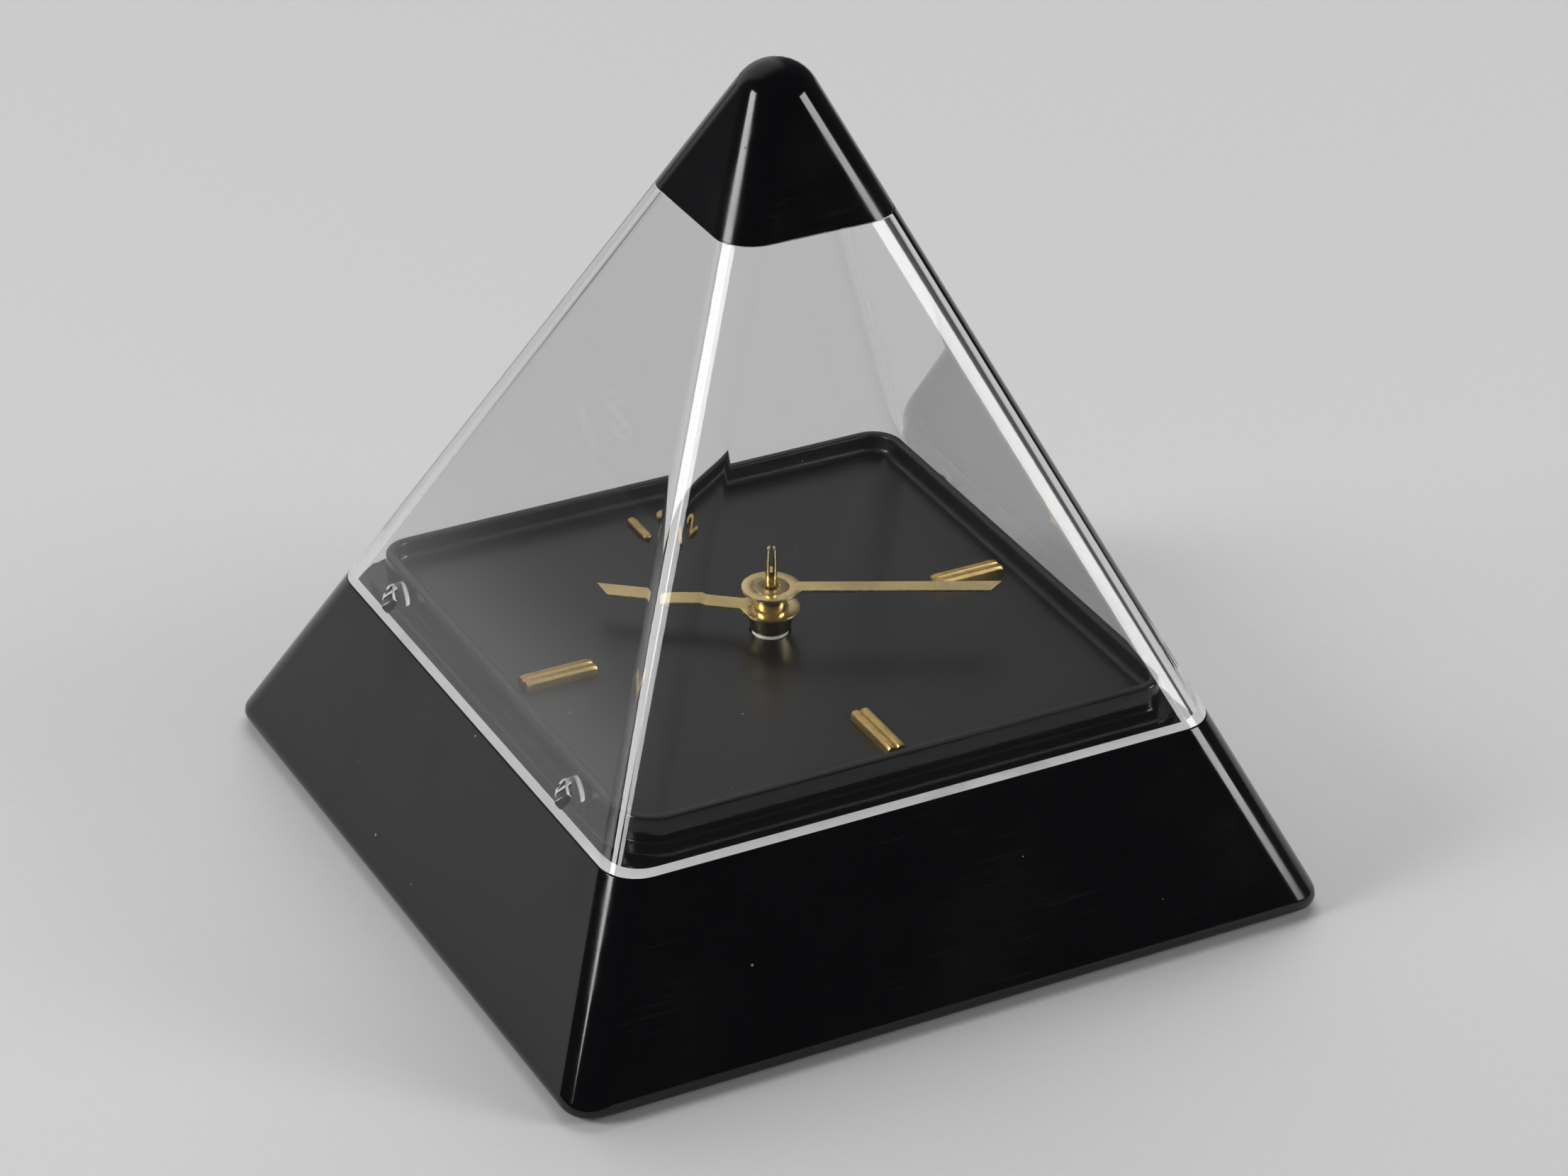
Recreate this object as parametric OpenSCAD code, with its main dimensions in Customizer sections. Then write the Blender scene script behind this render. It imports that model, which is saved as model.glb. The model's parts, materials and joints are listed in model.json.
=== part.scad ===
// Pyramid desk clock: black moulded base, clear hollow cover, black cap and a quartz movement.
// The origin is the centre of the square that the feet stand on. +Z is up, +Y points to 12 o'clock
// and +X to 3 o'clock. All sizes are in millimetres.

/* [Pyramid] */
// Side of the square base, where the sloping faces would meet its underside
base_w = 114; // [100:1:130]
// Height above the underside at which the four faces would meet in a point
apex_h = 120.4; // [112:0.2:136]
// Radius of the rounded sloping edges and of the tip
edge_r = 6; // [5:0.25:7]
// Radius between the faces and the underside
foot_edge_r = 1.7; // [1:0.1:2]
// Height of the joint between the base and the clear cover
seam_h = 26.3; // [26:0.1:29]
// Height of the joint between the clear cover and the cap
cap_h = 93.5; // [86:0.5:96]

/* [Shells] */
// Wall of the black base
base_wall = 2.5; // [2:0.1:3]
// Wall of the clear cover
cover_wall = 2; // [1.6:0.1:2.4]
// Wall of the cap
cap_wall = 2; // [1.6:0.1:2.4]
// Thickness of the ledge on which the dial tray rests
ledge_t = 2; // [1.6:0.1:2.4]
// Width of that ledge, from the seam inwards
ledge_w = 7.5; // [7:0.1:8]
// Thickness of the collar on the cover that holds the cap
collar_t = 0.9; // [0.7:0.05:1]
// Height of that collar
collar_h = 2.5; // [2:0.1:4]
// Radius of the clear lugs that lock the cover to the dial tray
lug_r = 1.9; // [1.5:0.1:2]
// How far the lugs enter the wall of the tray
lug_bite = 0.6; // [0.4:0.1:0.8]
// Place of the back lug on the left face, from the middle; the right face has it in front
lug_back = 30; // [26:0.5:31]
// Place of the other lug on the left face, from the middle
lug_front = 25; // [22:0.5:28]

/* [Dial tray] */
// Height of the dial above the underside of the base
dial_h = 28.4; // [28:0.1:29.4]
// Thickness of the dial
dial_t = 1.6; // [1.2:0.1:2]
// Height of the raised rim above the dial
rim_h = 2.7; // [2:0.1:3.2]
// Width of the top of the rim
rim_t = 1.4; // [1:0.1:1.8]
// Gap between the rim and the clear cover
rim_gap = 0.55; // [0.4:0.05:0.8]
// Gap between the hour tube and the dial's hole
dial_hole_gap = 0.3; // [0.2:0.05:0.6]

/* [Markers] */
// Length of an hour baton
baton_l = 10.4; // [8:0.2:12]
// Width of an hour baton
baton_w = 2.6; // [2:0.1:3]
// Height of an hour baton
baton_h = 1.5; // [1.2:0.1:2]
// Distance from the centre to the inner end of a baton
baton_in = 25.2; // [22:0.2:27]
// Height of the figures of the 12
figure_h = 6; // [5:0.1:7.4]
// Width of the stroke of the 1
one_w = 1.3; // [0.9:0.1:1.5]
// Width of the strokes of the 2
two_w = 0.9; // [0.7:0.05:1.1]
// Thickness of the figures
figure_t = 0.7; // [0.5:0.1:1]
// Distance from the centre to the middle of the figures
figure_out = 31; // [27:0.2:32]

/* [Hands] */
// Length of the minute hand from the centre
minute_l = 31.2; // [24:0.2:34]
// Length of the hour hand from the centre
hour_l = 23; // [18:0.2:26]
// Width of the minute hand
minute_w = 2.4; // [1.8:0.1:3]
// Width of the hour hand
hour_w = 2.8; // [2:0.1:3.4]
// Thickness of both hands
hand_t = 0.4; // [0.3:0.05:0.6]
// Radius of the round centre of each hand
hand_disc_r = 4; // [3.6:0.1:4.4]
// Radius of the bush riveted into the minute hand
minute_bush_r = 2.5; // [2.4:0.1:2.8]
// Top of the hour hand above the dial
hour_hand_up = 3.6; // [3.2:0.1:4.4]
// Top of the minute hand above the hour hand
minute_hand_up = 3.1; // [2.8:0.1:3.6]
// Top of the seconds arbor above the minute hand
seconds_up = 6; // [4:0.2:7]
// Hour that the clock shows
shown_hour = 10; // [0:1:11]
// Minute that the clock shows
shown_minute = 19.3; // [0:0.1:59.9]
// Degrees by which the hour hand was pressed on behind its true place
hour_hand_lag = 2.2; // [0:0.1:4]

/* [Movement] */
// Side of the square movement case
move_w = 56; // [56:0.5:60]
// Depth of the movement case
move_h = 16; // [16:0.2:17]
// Wall of the movement case
move_wall = 1.2; // [1:0.1:1.4]
// Radius of the battery
cell_r = 7.25; // [7.1:0.05:7.3]
// Length of the battery without its nub
cell_l = 49.5; // [49:0.1:49.6]
// Radius of the hour tube
hour_tube_r = 2.5; // [2.4:0.05:2.6]
// Radius of the cannon tube inside the hour tube
cannon_r = 1.65; // [1.6:0.05:1.75]
// Radius of the seconds arbor
seconds_r = 0.8; // [0.6:0.05:0.8]
// Radius of the thin arbors and pivots
pivot_r = 0.4; // [0.3:0.05:0.4]
// Radial play of every turning fit
play = 0.05; // [0.03:0.01:0.08]

/* [Bottom] */
// Thickness of the bottom cover
bottom_t = 2.4; // [2:0.1:3]
// Gap around the bottom cover
bottom_gap = 0.3; // [0.2:0.05:0.5]
// How far the feet stand out of the bottom cover
foot_up = 0.6; // [0.4:0.1:1.2]
// Radius of a foot
foot_r = 4.5; // [3.5:0.25:5]
// Depth of the recess that holds a foot
foot_sink = 1; // [0.8:0.1:1.4]
// Distance from the edge of the bottom cover to the middle of a foot
foot_in = 7.7; // [7:0.1:12]
// Distance from the ledge's opening out to a base screw
screw_out = 0.5; // [0:0.1:1]
// Radius of the setting knob
knob_r = 7; // [6:0.25:7.5]
// Gap around the battery door
door_gap = 0.25; // [0.2:0.05:0.4]

/* [Hidden] */

$fn = 64;
eps = 0.01;
hull_fn = 32;

// ---- heights above the surface that the clock stands on
z_under = foot_up;
z_seam = z_under + seam_h;
z_cap = z_under + cap_h;
z_dial = z_under + dial_h;
z_dial_low = z_dial - dial_t;
z_rim = z_dial + rim_h;
z_flange = z_seam + 1;
z_hour_hand = z_dial + hour_hand_up;
z_minute_hand = z_hour_hand + minute_hand_up;
z_seconds_top = z_minute_hand + seconds_up;

// ---- the sloping faces
lean = (base_w / 2) / apex_h;
slant = sqrt(1 + lean * lean);
face_angle = atan(1 / lean);

// Half the width between two faces moved inwards by inset, at height z
function half_at(z, inset) = base_w / 2 - lean * (z - z_under) - inset * slant;
// Height at which such faces meet
function tip_at(inset) = z_under + apex_h - inset * slant / lean;

flange_half = half_at(z_flange, cover_wall) - 0.25;
rim_half = half_at(z_rim, cover_wall) - rim_gap;
rim_corner = edge_r - 1.5;
ledge_half = half_at(z_seam, 0) - ledge_w;
skirt_half = ledge_half - 0.2;
skirt_h = ledge_t - 0.4;
skirt_t = 1.5;
collar_in = cover_wall - collar_t;
collar_gap = 0.1;
lug_z = z_seam + lug_r - 0.3;
lug_tip = rim_half - lug_bite;
lug_room = 0.15;
pull_in = foot_edge_r / tan(face_angle / 2);
bottom_half = half_at(z_under, 0) - pull_in - 1.6;
foot_at = bottom_half - foot_in;
screw_at = ledge_half + screw_out;
z_bottom_in = z_under + bottom_t;
boss_r = 3.5;
screw_r = 1.45;
screw_l = 10;
screw_head_r = 2.8;
screw_head_h = 1.2;

// ---- the movement, from the dial down
z_move = z_dial_low - move_h;
z_plate = z_dial_low - move_wall;
bay_half = move_w / 2 - move_wall;
z_lid = z_move + move_wall;
z_gear_plate = z_lid + 0.3;
gear_plate_t = 0.8;
plate_post_r = 1.2;
case_post_r = 1.4;
cell_gap = 0.35;
cell_y = -bay_half + cell_gap + cell_r;
cell_z = z_plate - cell_r - 0.3;
bay_wall_y = cell_y + cell_r + cell_gap + move_wall / 2;
post_in = 2.4;
nub_r = 2.75;
nub_l = 1;
ear_x = move_w / 2 + 3.5;
ear_r = 3;
ear_t = 2;
ear_boss_h = 3;
ear_screw_r = 1;

// Gears: teeth and module of each pair
cannon_teeth = 12;
motion_teeth = 36;
motion_module = 0.3;
motion_pinion_teeth = 10;
hour_teeth = 40;
setting_teeth = 12;
second_pinion_teeth = 8;
third_teeth = 64;
third_module = 0.2;
third_pinion_teeth = 8;
centre_teeth = 60;
seconds_teeth = 60;
step_pinion_teeth = 10;
step_module = 0.21;
step_teeth = 60;
rotor_teeth = 12;
rotor_module = 0.18;

function spacing(a, b, m) = (a + b) * m / 2;
motion_spacing = spacing(cannon_teeth, motion_teeth, motion_module);
hour_module = 2 * motion_spacing / (motion_pinion_teeth + hour_teeth);
third_spacing = spacing(second_pinion_teeth, third_teeth, third_module);
centre_module = 2 * third_spacing / (third_pinion_teeth + centre_teeth);

// Directions in which the arbors lie from the one before, in degrees
motion_dir = 160;
third_dir = 20;
step_dir = 90;

function step_from(p, dir, d) = [p[0] + d * cos(dir), p[1] + d * sin(dir)];
centre_at = [0, 0];
motion_at = step_from(centre_at, motion_dir, motion_spacing);
setting_at = step_from(motion_at, motion_dir, spacing(motion_teeth, setting_teeth, motion_module));
third_at = step_from(centre_at, third_dir, third_spacing);
step_at = step_from(centre_at, step_dir, spacing(step_pinion_teeth, seconds_teeth, step_module));
rotor_at = step_from(step_at, step_dir, spacing(rotor_teeth, step_teeth, rotor_module));

// Bottom of each wheel and pinion above the gear plate
z_train = z_gear_plate + gear_plate_t;
z_rotor_pinion = z_train + 0.4;
z_step_wheel = z_train + 0.7;
z_step_pinion = z_train + 1.9;
z_seconds_wheel = z_train + 2.2;
z_second_pinion = z_train + 3.9;
z_third_wheel = z_train + 4.2;
z_third_pinion = z_train + 6;
z_centre_wheel = z_train + 6.3;
z_cannon_pinion = z_train + 8.2;
z_motion_wheel = z_train + 8.5;
z_motion_pinion = z_train + 10;
z_hour_wheel = z_train + 10.3;
thin_wheel_t = 0.8;
pinion_t = 1.4;
hour_wheel_t = 1.2;
magnet_r = 2.75;
magnet_t = 2.6;
z_magnet = z_train + 2;
z_stator = z_magnet + 0.8;
stator_t = 1;
hub_r = 2.4;
tube_top = z_hour_hand - 0.3;
bush_low = tube_top + 0.15;

// Coil
coil_y = 22;
coil_half = 9.2;
coil_r = 4;
bobbin_r = 2.2;
bobbin_flange_t = 0.8;
core_w = 3;
core_reach = 17;
limb_w = 5;
z_core = z_stator + stator_t;
coil_z = z_core + stator_t / 2;

// Circuit board
board_x = 15;
board_gap = 0.7;
board_y = bay_wall_y + post_in + case_post_r + board_gap;
board_w = 10.8;
board_l = 16;
board_t = 1.2;
z_board = z_train + 8.4;

// Battery door and its hinge
door_half = 29;
door_back = -9.6;
door_front = -30;
hinge_r = bottom_t / 2;
hinge_pin_r = 0.7;
hinge_pin_l = 1.6;
hinge_y = door_back - door_gap - hinge_r;
hinge_z = z_under + hinge_r;
z_knob = z_under + 1;
knob_h = 5.4;
knob_stem_r = 2.5;
knob_stem_h = 3;
knob_room = 2;
knob_flutes = 24;
knob_flute_r = 0.55;

function clockwise(turn) = 90 - turn;
minute_dir = clockwise(6 * shown_minute);
slot_dir = 62;
hour_dir = clockwise(30 * (shown_hour + shown_minute / 60) - hour_hand_lag);

// ================================================================ shapes

// Flat square with round corners, half its width given
module round_square(half, r) {
    square([2 * half, 2 * (half - r)], center = true);
    square([2 * (half - r), 2 * half], center = true);
    for (x = [-1, 1], y = [-1, 1])
        translate([x * (half - r), y * (half - r)])
            circle(r);
}

// Plate of that outline between two heights
module round_plate(half, r, z_low, z_high) {
    translate([0, 0, z_low])
        linear_extrude(z_high - z_low)
            round_square(half, r);
}

// Pyramid with round edges, its faces moved inwards by inset, between two heights
module pyramid_slice(inset, r, z_low, z_high) {
    deep = z_low - 2 * edge_r;
    corner = half_at(deep, inset + r);
    intersection() {
        hull() {
            for (x = [-1, 1], y = [-1, 1])
                translate([x * corner, y * corner, deep])
                    sphere(r, $fn = hull_fn);
            translate([0, 0, tip_at(inset + r)])
                sphere(r, $fn = hull_fn);
        }
        translate([-base_w, -base_w, z_low])
            cube([2 * base_w, 2 * base_w, z_high - z_low]);
    }
}

// Tub that rounds the lower edge of the base
module foot_edge_tub() {
    steps = 5;
    turn = 180 - face_angle;
    inner = half_at(z_under, 0) - pull_in;
    corner = 0.8 * edge_r;
    top = half_at(z_seam, 0) + edge_r;
    hull() {
        for (i = [0 : steps])
            let (a = -90 + turn * i / steps,
                 half = inner + foot_edge_r * cos(a),
                 z = z_under + foot_edge_r * (1 + sin(a)))
                round_plate(half, corner, z, z + eps);
        round_plate(top, corner, z_seam - 1, z_seam);
    }
}

// Involute angle, in degrees, at radius q over base circle b
function involute(q, b) = let (a = acos(min(1, b / q))) tan(a) * 180 / PI - a;

// Outline of a gear: teeth, module, height of the teeth outside and inside the pitch circle
function gear_points(n, m, out = 0.8, in = 1.15, slack = 0.26) =
    let (r = n * m / 2,
         b = r * cos(20),
         radii = n > 20 ? [r - in * m, r, r + out * m] : [r - in * m, max(b, r - in * m), r, r + out * m],
         count = len(radii),
         half = [for (q = radii) 90 / n * (1 - slack) + involute(r, b) - involute(max(q, b), b)])
    [for (k = [0 : n - 1])
        for (i = [0 : 2 * count - 1])
            let (j = i < count ? i : 2 * count - 1 - i,
                 a = 360 * k / n + (i < count ? -half[j] : half[j]))
            [radii[j] * cos(a), radii[j] * sin(a)]];

// Gear turned by phase degrees, standing on height z at place p
module gear(p, z, t, n, m, phase) {
    translate([p[0], p[1], z])
        rotate([0, 0, phase])
            linear_extrude(t)
                polygon(gear_points(n, m));
}

// Phase that puts a gap of gear b opposite a tooth of gear a, with b lying in direction dir from a
function meshed(dir, phase_a, teeth_a, teeth_b) =
    dir + 180 + 180 / teeth_b + (dir - phase_a) * teeth_a / teeth_b;

// Upright rod from one height to another
module rod(p, r, z_low, z_high) {
    translate([p[0], p[1], z_low])
        cylinder(r = r, h = z_high - z_low);
}

// Upright tube from one height to another
module tube(p, r_out, r_in, z_low, z_high) {
    difference() {
        rod(p, r_out, z_low, z_high);
        rod(p, r_in, z_low - 1, z_high + 1);
    }
}

// Screw pointing up, with the underside of its head at the origin
module screw(r, l, head_r, head_h) {
    slot_w = 0.5;
    difference() {
        union() {
            cylinder(r = r, h = l);
            translate([0, 0, -head_h])
                cylinder(r = head_r, h = head_h);
        }
        for (a = [0, 90])
            rotate([0, 0, a])
                translate([-0.6 * head_r, -slot_w / 2, -head_h - eps])
                    cube([1.2 * head_r, slot_w, 0.6 * head_h]);
    }
}

// Places of the four things that stand at the corners of a square
module at_corners(d) {
    for (x = [-1, 1], y = [-1, 1])
        translate([x * d, y * d, 0])
            children();
}

// Places of the four lugs, each pointing along +X out of the middle
module at_lugs() {
    for (side = [0, 180], y = [-lug_back, lug_front])
        rotate([0, 0, side])
            translate([0, y, lug_z])
                rotate([0, 90, 0])
                    children();
}

// ================================================================ shells

module base_shell() {
    color("#141519")
    difference() {
        union() {
            difference() {
                intersection() {
                    pyramid_slice(0, edge_r, z_under, z_seam);
                    foot_edge_tub();
                }
                pyramid_slice(base_wall, edge_r - base_wall, z_bottom_in, z_seam - ledge_t);
                round_plate(bottom_half + bottom_gap, edge_r, z_under - 1, z_bottom_in + eps);
            }
            at_corners(screw_at)
                rod([0, 0], boss_r, z_bottom_in, z_seam - ledge_t + eps);
        }
        round_plate(ledge_half, edge_r - 1, z_seam - ledge_t - 1, z_seam + 1);
        at_corners(screw_at)
            rod([0, 0], screw_r, z_bottom_in - 1, z_bottom_in + screw_l);
    }
}

module clear_cover() {
    color("#dfe8ea", 0.35)
    difference() {
        union() {
            difference() {
                union() {
                    pyramid_slice(0, edge_r, z_seam, z_cap);
                    pyramid_slice(collar_in, edge_r - collar_in, z_cap - eps, z_cap + collar_h);
                }
                pyramid_slice(cover_wall, edge_r - cover_wall, z_seam - 1, z_cap + collar_h + 1);
            }
            intersection() {
                at_lugs()
                    translate([0, 0, lug_tip])
                        cylinder(r = lug_r, h = half_at(lug_z, cover_wall / 2) - lug_tip);
                round_plate(base_w / 2, 1, z_seam, z_seam + 3 * lug_r);
            }
        }
        at_lugs()
            translate([0, 0, lug_tip - eps])
                cylinder(r = lug_r / 2, h = 0.3);
    }
}

module apex_cap() {
    room = collar_in - collar_gap;
    color("#141519")
    difference() {
        pyramid_slice(0, edge_r, z_cap, z_cap + apex_h);
        pyramid_slice(cap_wall, edge_r - cap_wall, z_cap - 1, z_cap + apex_h);
        pyramid_slice(room, edge_r - room, z_cap - 1, z_cap + collar_h + collar_gap);
    }
}

module dial_tray() {
    floor_corner = rim_corner - rim_t;
    color("#3a3b3d")
    difference() {
        union() {
            round_plate(flange_half, edge_r, z_seam, z_flange);
            round_plate(rim_half, rim_corner, z_seam, z_rim);
            round_plate(skirt_half, edge_r - 1.2, z_seam - skirt_h, z_seam + eps);
            for (x = [-1, 1])
                rod([x * ear_x, 0], ear_r, z_dial_low - ear_boss_h, z_dial_low + eps);
        }
        round_plate(rim_half - rim_t, floor_corner, z_dial, z_rim + 1);
        difference() {
            round_plate(skirt_half - skirt_t, edge_r - 2, z_seam - skirt_h - 1, z_dial_low);
            for (x = [-1, 1])
                rod([x * ear_x, 0], ear_r, z_dial_low - ear_boss_h, z_dial_low);
        }
        rod([0, 0], hour_tube_r + dial_hole_gap, z_dial_low - 1, z_dial + 1);
        for (x = [-1, 1])
            rod([x * ear_x, 0], ear_screw_r, z_dial_low - ear_boss_h - 1, z_dial_low + 0.4);
        at_lugs()
            translate([0, 0, lug_tip - lug_room])
                cylinder(r = lug_r + lug_room, h = base_w);
    }
}

// ================================================================ dial furniture

// Double-ridged bar lying along +X on the dial
module baton() {
    ridge_r = baton_w / 4;
    translate([baton_in, 0, z_dial])
        rotate([90, 0, 90])
            linear_extrude(baton_l) {
                translate([-baton_w / 2, 0])
                    square([baton_w, baton_h - ridge_r]);
                for (x = [-1, 1])
                    translate([x * ridge_r, baton_h - ridge_r])
                        circle(ridge_r);
            }
}

module baton_3() {
    color("#c9a24f")
    baton();
}

module baton_6() {
    color("#c9a24f")
    rotate([0, 0, -90])
        baton();
}

module baton_9() {
    color("#c9a24f")
    rotate([0, 0, 180])
        baton();
}

// Stroke of a figure between two points, with round ends
module stroke(a, b, w) {
    d = b - a;
    translate(a)
        rotate(atan2(d[1], d[0])) {
            translate([0, -w / 2])
                square([norm(d), w]);
            for (x = [0, norm(d)])
                translate([x, 0])
                    circle(w / 2);
        }
}

// Room of one figure, the middle of its foot at the origin, raised on the dial
module figure_at(x) {
    translate([x, figure_out - figure_h / 2, z_dial])
        linear_extrude(figure_t)
            children();
}

module figure_one() {
    end = one_w / 2;
    color("#c9a24f")
    figure_at(-0.53 * figure_h)
        stroke([0, end], [0, figure_h - end], one_w);
}

module figure_two() {
    end = two_w / 2;
    bow_r = figure_h * 0.24 - end;
    bow_y = figure_h - bow_r - end;
    low = -35;
    color("#c9a24f")
    figure_at(0.3 * figure_h) {
        intersection() {
            translate([0, bow_y])
                difference() {
                    circle(bow_r + end);
                    circle(bow_r - end);
                }
            translate([0, bow_y])
                polygon([[0, 0], 3 * bow_r * [cos(low), sin(low)], [3 * bow_r, 3 * bow_r],
                         [-3 * bow_r, 3 * bow_r], 3 * bow_r * [-1, 0.1]]);
        }
        translate([0, bow_y])
            rotate(174)
                translate([bow_r, 0])
                    circle(end);
        stroke([-bow_r, end], [bow_r * cos(low), bow_y + bow_r * sin(low)], two_w);
        stroke([-bow_r, end], [1.15 * bow_r, end], two_w);
    }
}

// ================================================================ hands

// Blade with a slanted tip on a round centre, lying along +X, its top at height z.
// The blade's longer edge is on the left of its length for long = 1, on the right for long = -1.
module hand(l, w, z, hole_r, long) {
    slope = 0.7 * w;
    translate([0, 0, z - hand_t])
        linear_extrude(hand_t)
            difference() {
                union() {
                    circle(hand_disc_r);
                    polygon([[0, -w / 2], [l - slope * (1 + long) / 2, -w / 2],
                             [l - slope * (1 - long) / 2, w / 2], [0, w / 2]]);
                }
                circle(hole_r);
            }
}

module hour_hand() {
    color("#d8c38a")
    rotate([0, 0, hour_dir])
        hand(hour_l, hour_w, z_hour_hand, hour_tube_r, -1);
}

module hour_hand_bush() {
    top = z_hour_hand - hand_t;
    low = z_dial + 0.35;
    color("#d0ab52")
    rotate_extrude()
        polygon([[hour_tube_r, top], [hour_tube_r + 0.8, top], [hour_tube_r + 0.8, top - 0.3],
                 [hour_tube_r + 0.2, low], [hour_tube_r, low]]);
}

module minute_hand() {
    color("#d8c38a")
    rotate([0, 0, minute_dir])
        hand(minute_l, minute_w, z_minute_hand, minute_bush_r, 1);
}

module minute_hand_bush() {
    color("#d0ab52")
    difference() {
        union() {
            rod(centre_at, minute_bush_r - 0.25, bush_low, z_minute_hand);
            rod(centre_at, minute_bush_r, z_minute_hand - hand_t, z_minute_hand);
        }
        rod(centre_at, cannon_r, tube_top - 1, z_minute_hand - hand_t);
        rod(centre_at, seconds_r + 0.4, z_minute_hand - 2 * hand_t, z_minute_hand + 1);
    }
}

module cannon_pinion() {
    color("#c8a850")
    difference() {
        union() {
            gear(centre_at, z_cannon_pinion, pinion_t, cannon_teeth, motion_module, 0);
            rod(centre_at, cannon_r, z_cannon_pinion + pinion_t, z_minute_hand - hand_t);
            rod(centre_at, seconds_r + 0.6, z_centre_wheel - 0.6, z_cannon_pinion + eps);
        }
        rod(centre_at, seconds_r + play, z_centre_wheel - 2, z_minute_hand + 1);
    }
}

module hour_wheel() {
    motion_phase = meshed(motion_dir + 180, 0, motion_pinion_teeth, hour_teeth);
    color("#e8e4d8")
    difference() {
        union() {
            gear(centre_at, z_hour_wheel, hour_wheel_t, hour_teeth, hour_module, motion_phase);
            rod(centre_at, hour_tube_r, z_hour_wheel, tube_top);
        }
        rod(centre_at, cannon_r + play, z_hour_wheel - 1, tube_top + 1);
    }
}

module seconds_arbor() {
    slot_w = 0.4;
    slot_h = 0.57 * seconds_up;
    taper_h = 0.3 * seconds_up;
    color("#c8a850")
    difference() {
        union() {
            rod(centre_at, pivot_r, z_gear_plate, z_centre_wheel - 1);
            rod(centre_at, seconds_r, z_centre_wheel - 1, z_seconds_top - taper_h);
            translate([0, 0, z_seconds_top - taper_h])
                cylinder(r1 = seconds_r, r2 = 0.8 * seconds_r, h = taper_h);
        }
        translate([0, 0, z_seconds_top - slot_h])
            rotate([0, 0, slot_dir])
                translate([-2 * seconds_r, -slot_w / 2, 0])
                    cube([4 * seconds_r, slot_w, slot_h + 1]);
    }
}

module seconds_wheel() {
    color("#e8e4d8")
    difference() {
        union() {
            gear(centre_at, z_seconds_wheel, thin_wheel_t, seconds_teeth, step_module,
                 meshed(step_dir + 180, 0, step_pinion_teeth, seconds_teeth));
            gear(centre_at, z_second_pinion, pinion_t, second_pinion_teeth, third_module, 0);
            rod(centre_at, 1.6, z_seconds_wheel - 0.6, z_third_wheel - 0.9);
            rod(centre_at, 0.55, z_third_wheel - 1, z_second_pinion + eps);
        }
        rod(centre_at, pivot_r, z_train, z_centre_wheel);
    }
}

module centre_wheel() {
    color("#e8e4d8")
    difference() {
        union() {
            gear(centre_at, z_centre_wheel, thin_wheel_t, centre_teeth, centre_module,
                 meshed(third_dir + 180, 0, third_pinion_teeth, centre_teeth));
            rod(centre_at, hub_r, z_centre_wheel, z_cannon_pinion - 0.2);
        }
        rod(centre_at, seconds_r + 0.6 + play, z_centre_wheel - 1, z_cannon_pinion);
    }
}

module third_wheel() {
    color("#e8e4d8")
    union() {
        gear(third_at, z_third_wheel, thin_wheel_t, third_teeth, third_module,
             meshed(third_dir, 0, second_pinion_teeth, third_teeth));
        gear(third_at, z_third_pinion, pinion_t, third_pinion_teeth, centre_module, 0);
        rod(third_at, pivot_r, z_gear_plate, z_plate + 0.6);
    }
}

module intermediate_wheel() {
    color("#e8e4d8")
    union() {
        gear(step_at, z_step_wheel, thin_wheel_t - 0.2, step_teeth, rotor_module,
             meshed(step_dir + 180, 0, rotor_teeth, step_teeth));
        gear(step_at, z_step_pinion, pinion_t, step_pinion_teeth, step_module, 0);
        rod(step_at, pivot_r, z_gear_plate, z_plate + 0.6);
    }
}

module rotor_pinion() {
    color("#e8e4d8")
    union() {
        gear(rotor_at, z_rotor_pinion, pinion_t, rotor_teeth, rotor_module, 0);
        rod(rotor_at, pivot_r, z_gear_plate, z_plate + 0.6);
    }
}

module rotor_magnet() {
    color("#5a5c60")
    tube(rotor_at, magnet_r, pivot_r, z_magnet, z_magnet + magnet_t);
}

function motion_phase() = meshed(motion_dir, 0, cannon_teeth, motion_teeth);

module motion_wheel() {
    color("#e8e4d8")
    union() {
        gear(motion_at, z_motion_wheel, 1, motion_teeth, motion_module, motion_phase());
        gear(motion_at, z_motion_pinion, pinion_t + 0.4, motion_pinion_teeth, hour_module, 0);
        rod(motion_at, 0.9, z_motion_wheel, z_motion_pinion + eps);
        rod(motion_at, pivot_r, z_gear_plate, z_plate + 0.6);
    }
}

module setting_arbor() {
    arbor_r = 1.2;
    color("#e8e4d8")
    union() {
        gear(setting_at, z_cannon_pinion, pinion_t, setting_teeth, motion_module,
             meshed(motion_dir, motion_phase(), motion_teeth, setting_teeth));
        rod(setting_at, arbor_r, z_knob + knob_h - 2, z_cannon_pinion + eps);
        rod(setting_at, pivot_r, z_cannon_pinion, z_plate + 0.6);
    }
}

module setting_knob() {
    arbor_r = 1.2;
    color("#d9d9d6")
    difference() {
        union() {
            rod(setting_at, knob_r, z_knob, z_knob + knob_h);
            rod(setting_at, knob_stem_r, z_knob + knob_h - eps, z_knob + knob_h + knob_stem_h);
        }
        for (i = [0 : knob_flutes - 1])
            translate([setting_at[0], setting_at[1], z_knob - 1])
                rotate([0, 0, 360 * i / knob_flutes])
                    translate([knob_r + 0.2, 0, 0])
                        cylinder(r = knob_flute_r, h = knob_h + 2, $fn = 16);
        rod(setting_at, arbor_r, z_knob + knob_h - 2, z_knob + knob_h + knob_stem_h + 1);
    }
}

// ================================================================ movement

// Places of the arbors that turn in the plates, with the radius of each
module at_train_pivots() {
    for (p = [third_at, step_at, rotor_at, motion_at])
        translate([p[0], p[1], 0])
            children();
}

// Posts that press the gear plate against the back
module at_plate_posts() {
    for (x = [-1, 1], y = [bay_wall_y + post_in, bay_half - 1.8])
        translate([x * (bay_half - 1.8), y, 0])
            children();
}

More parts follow.
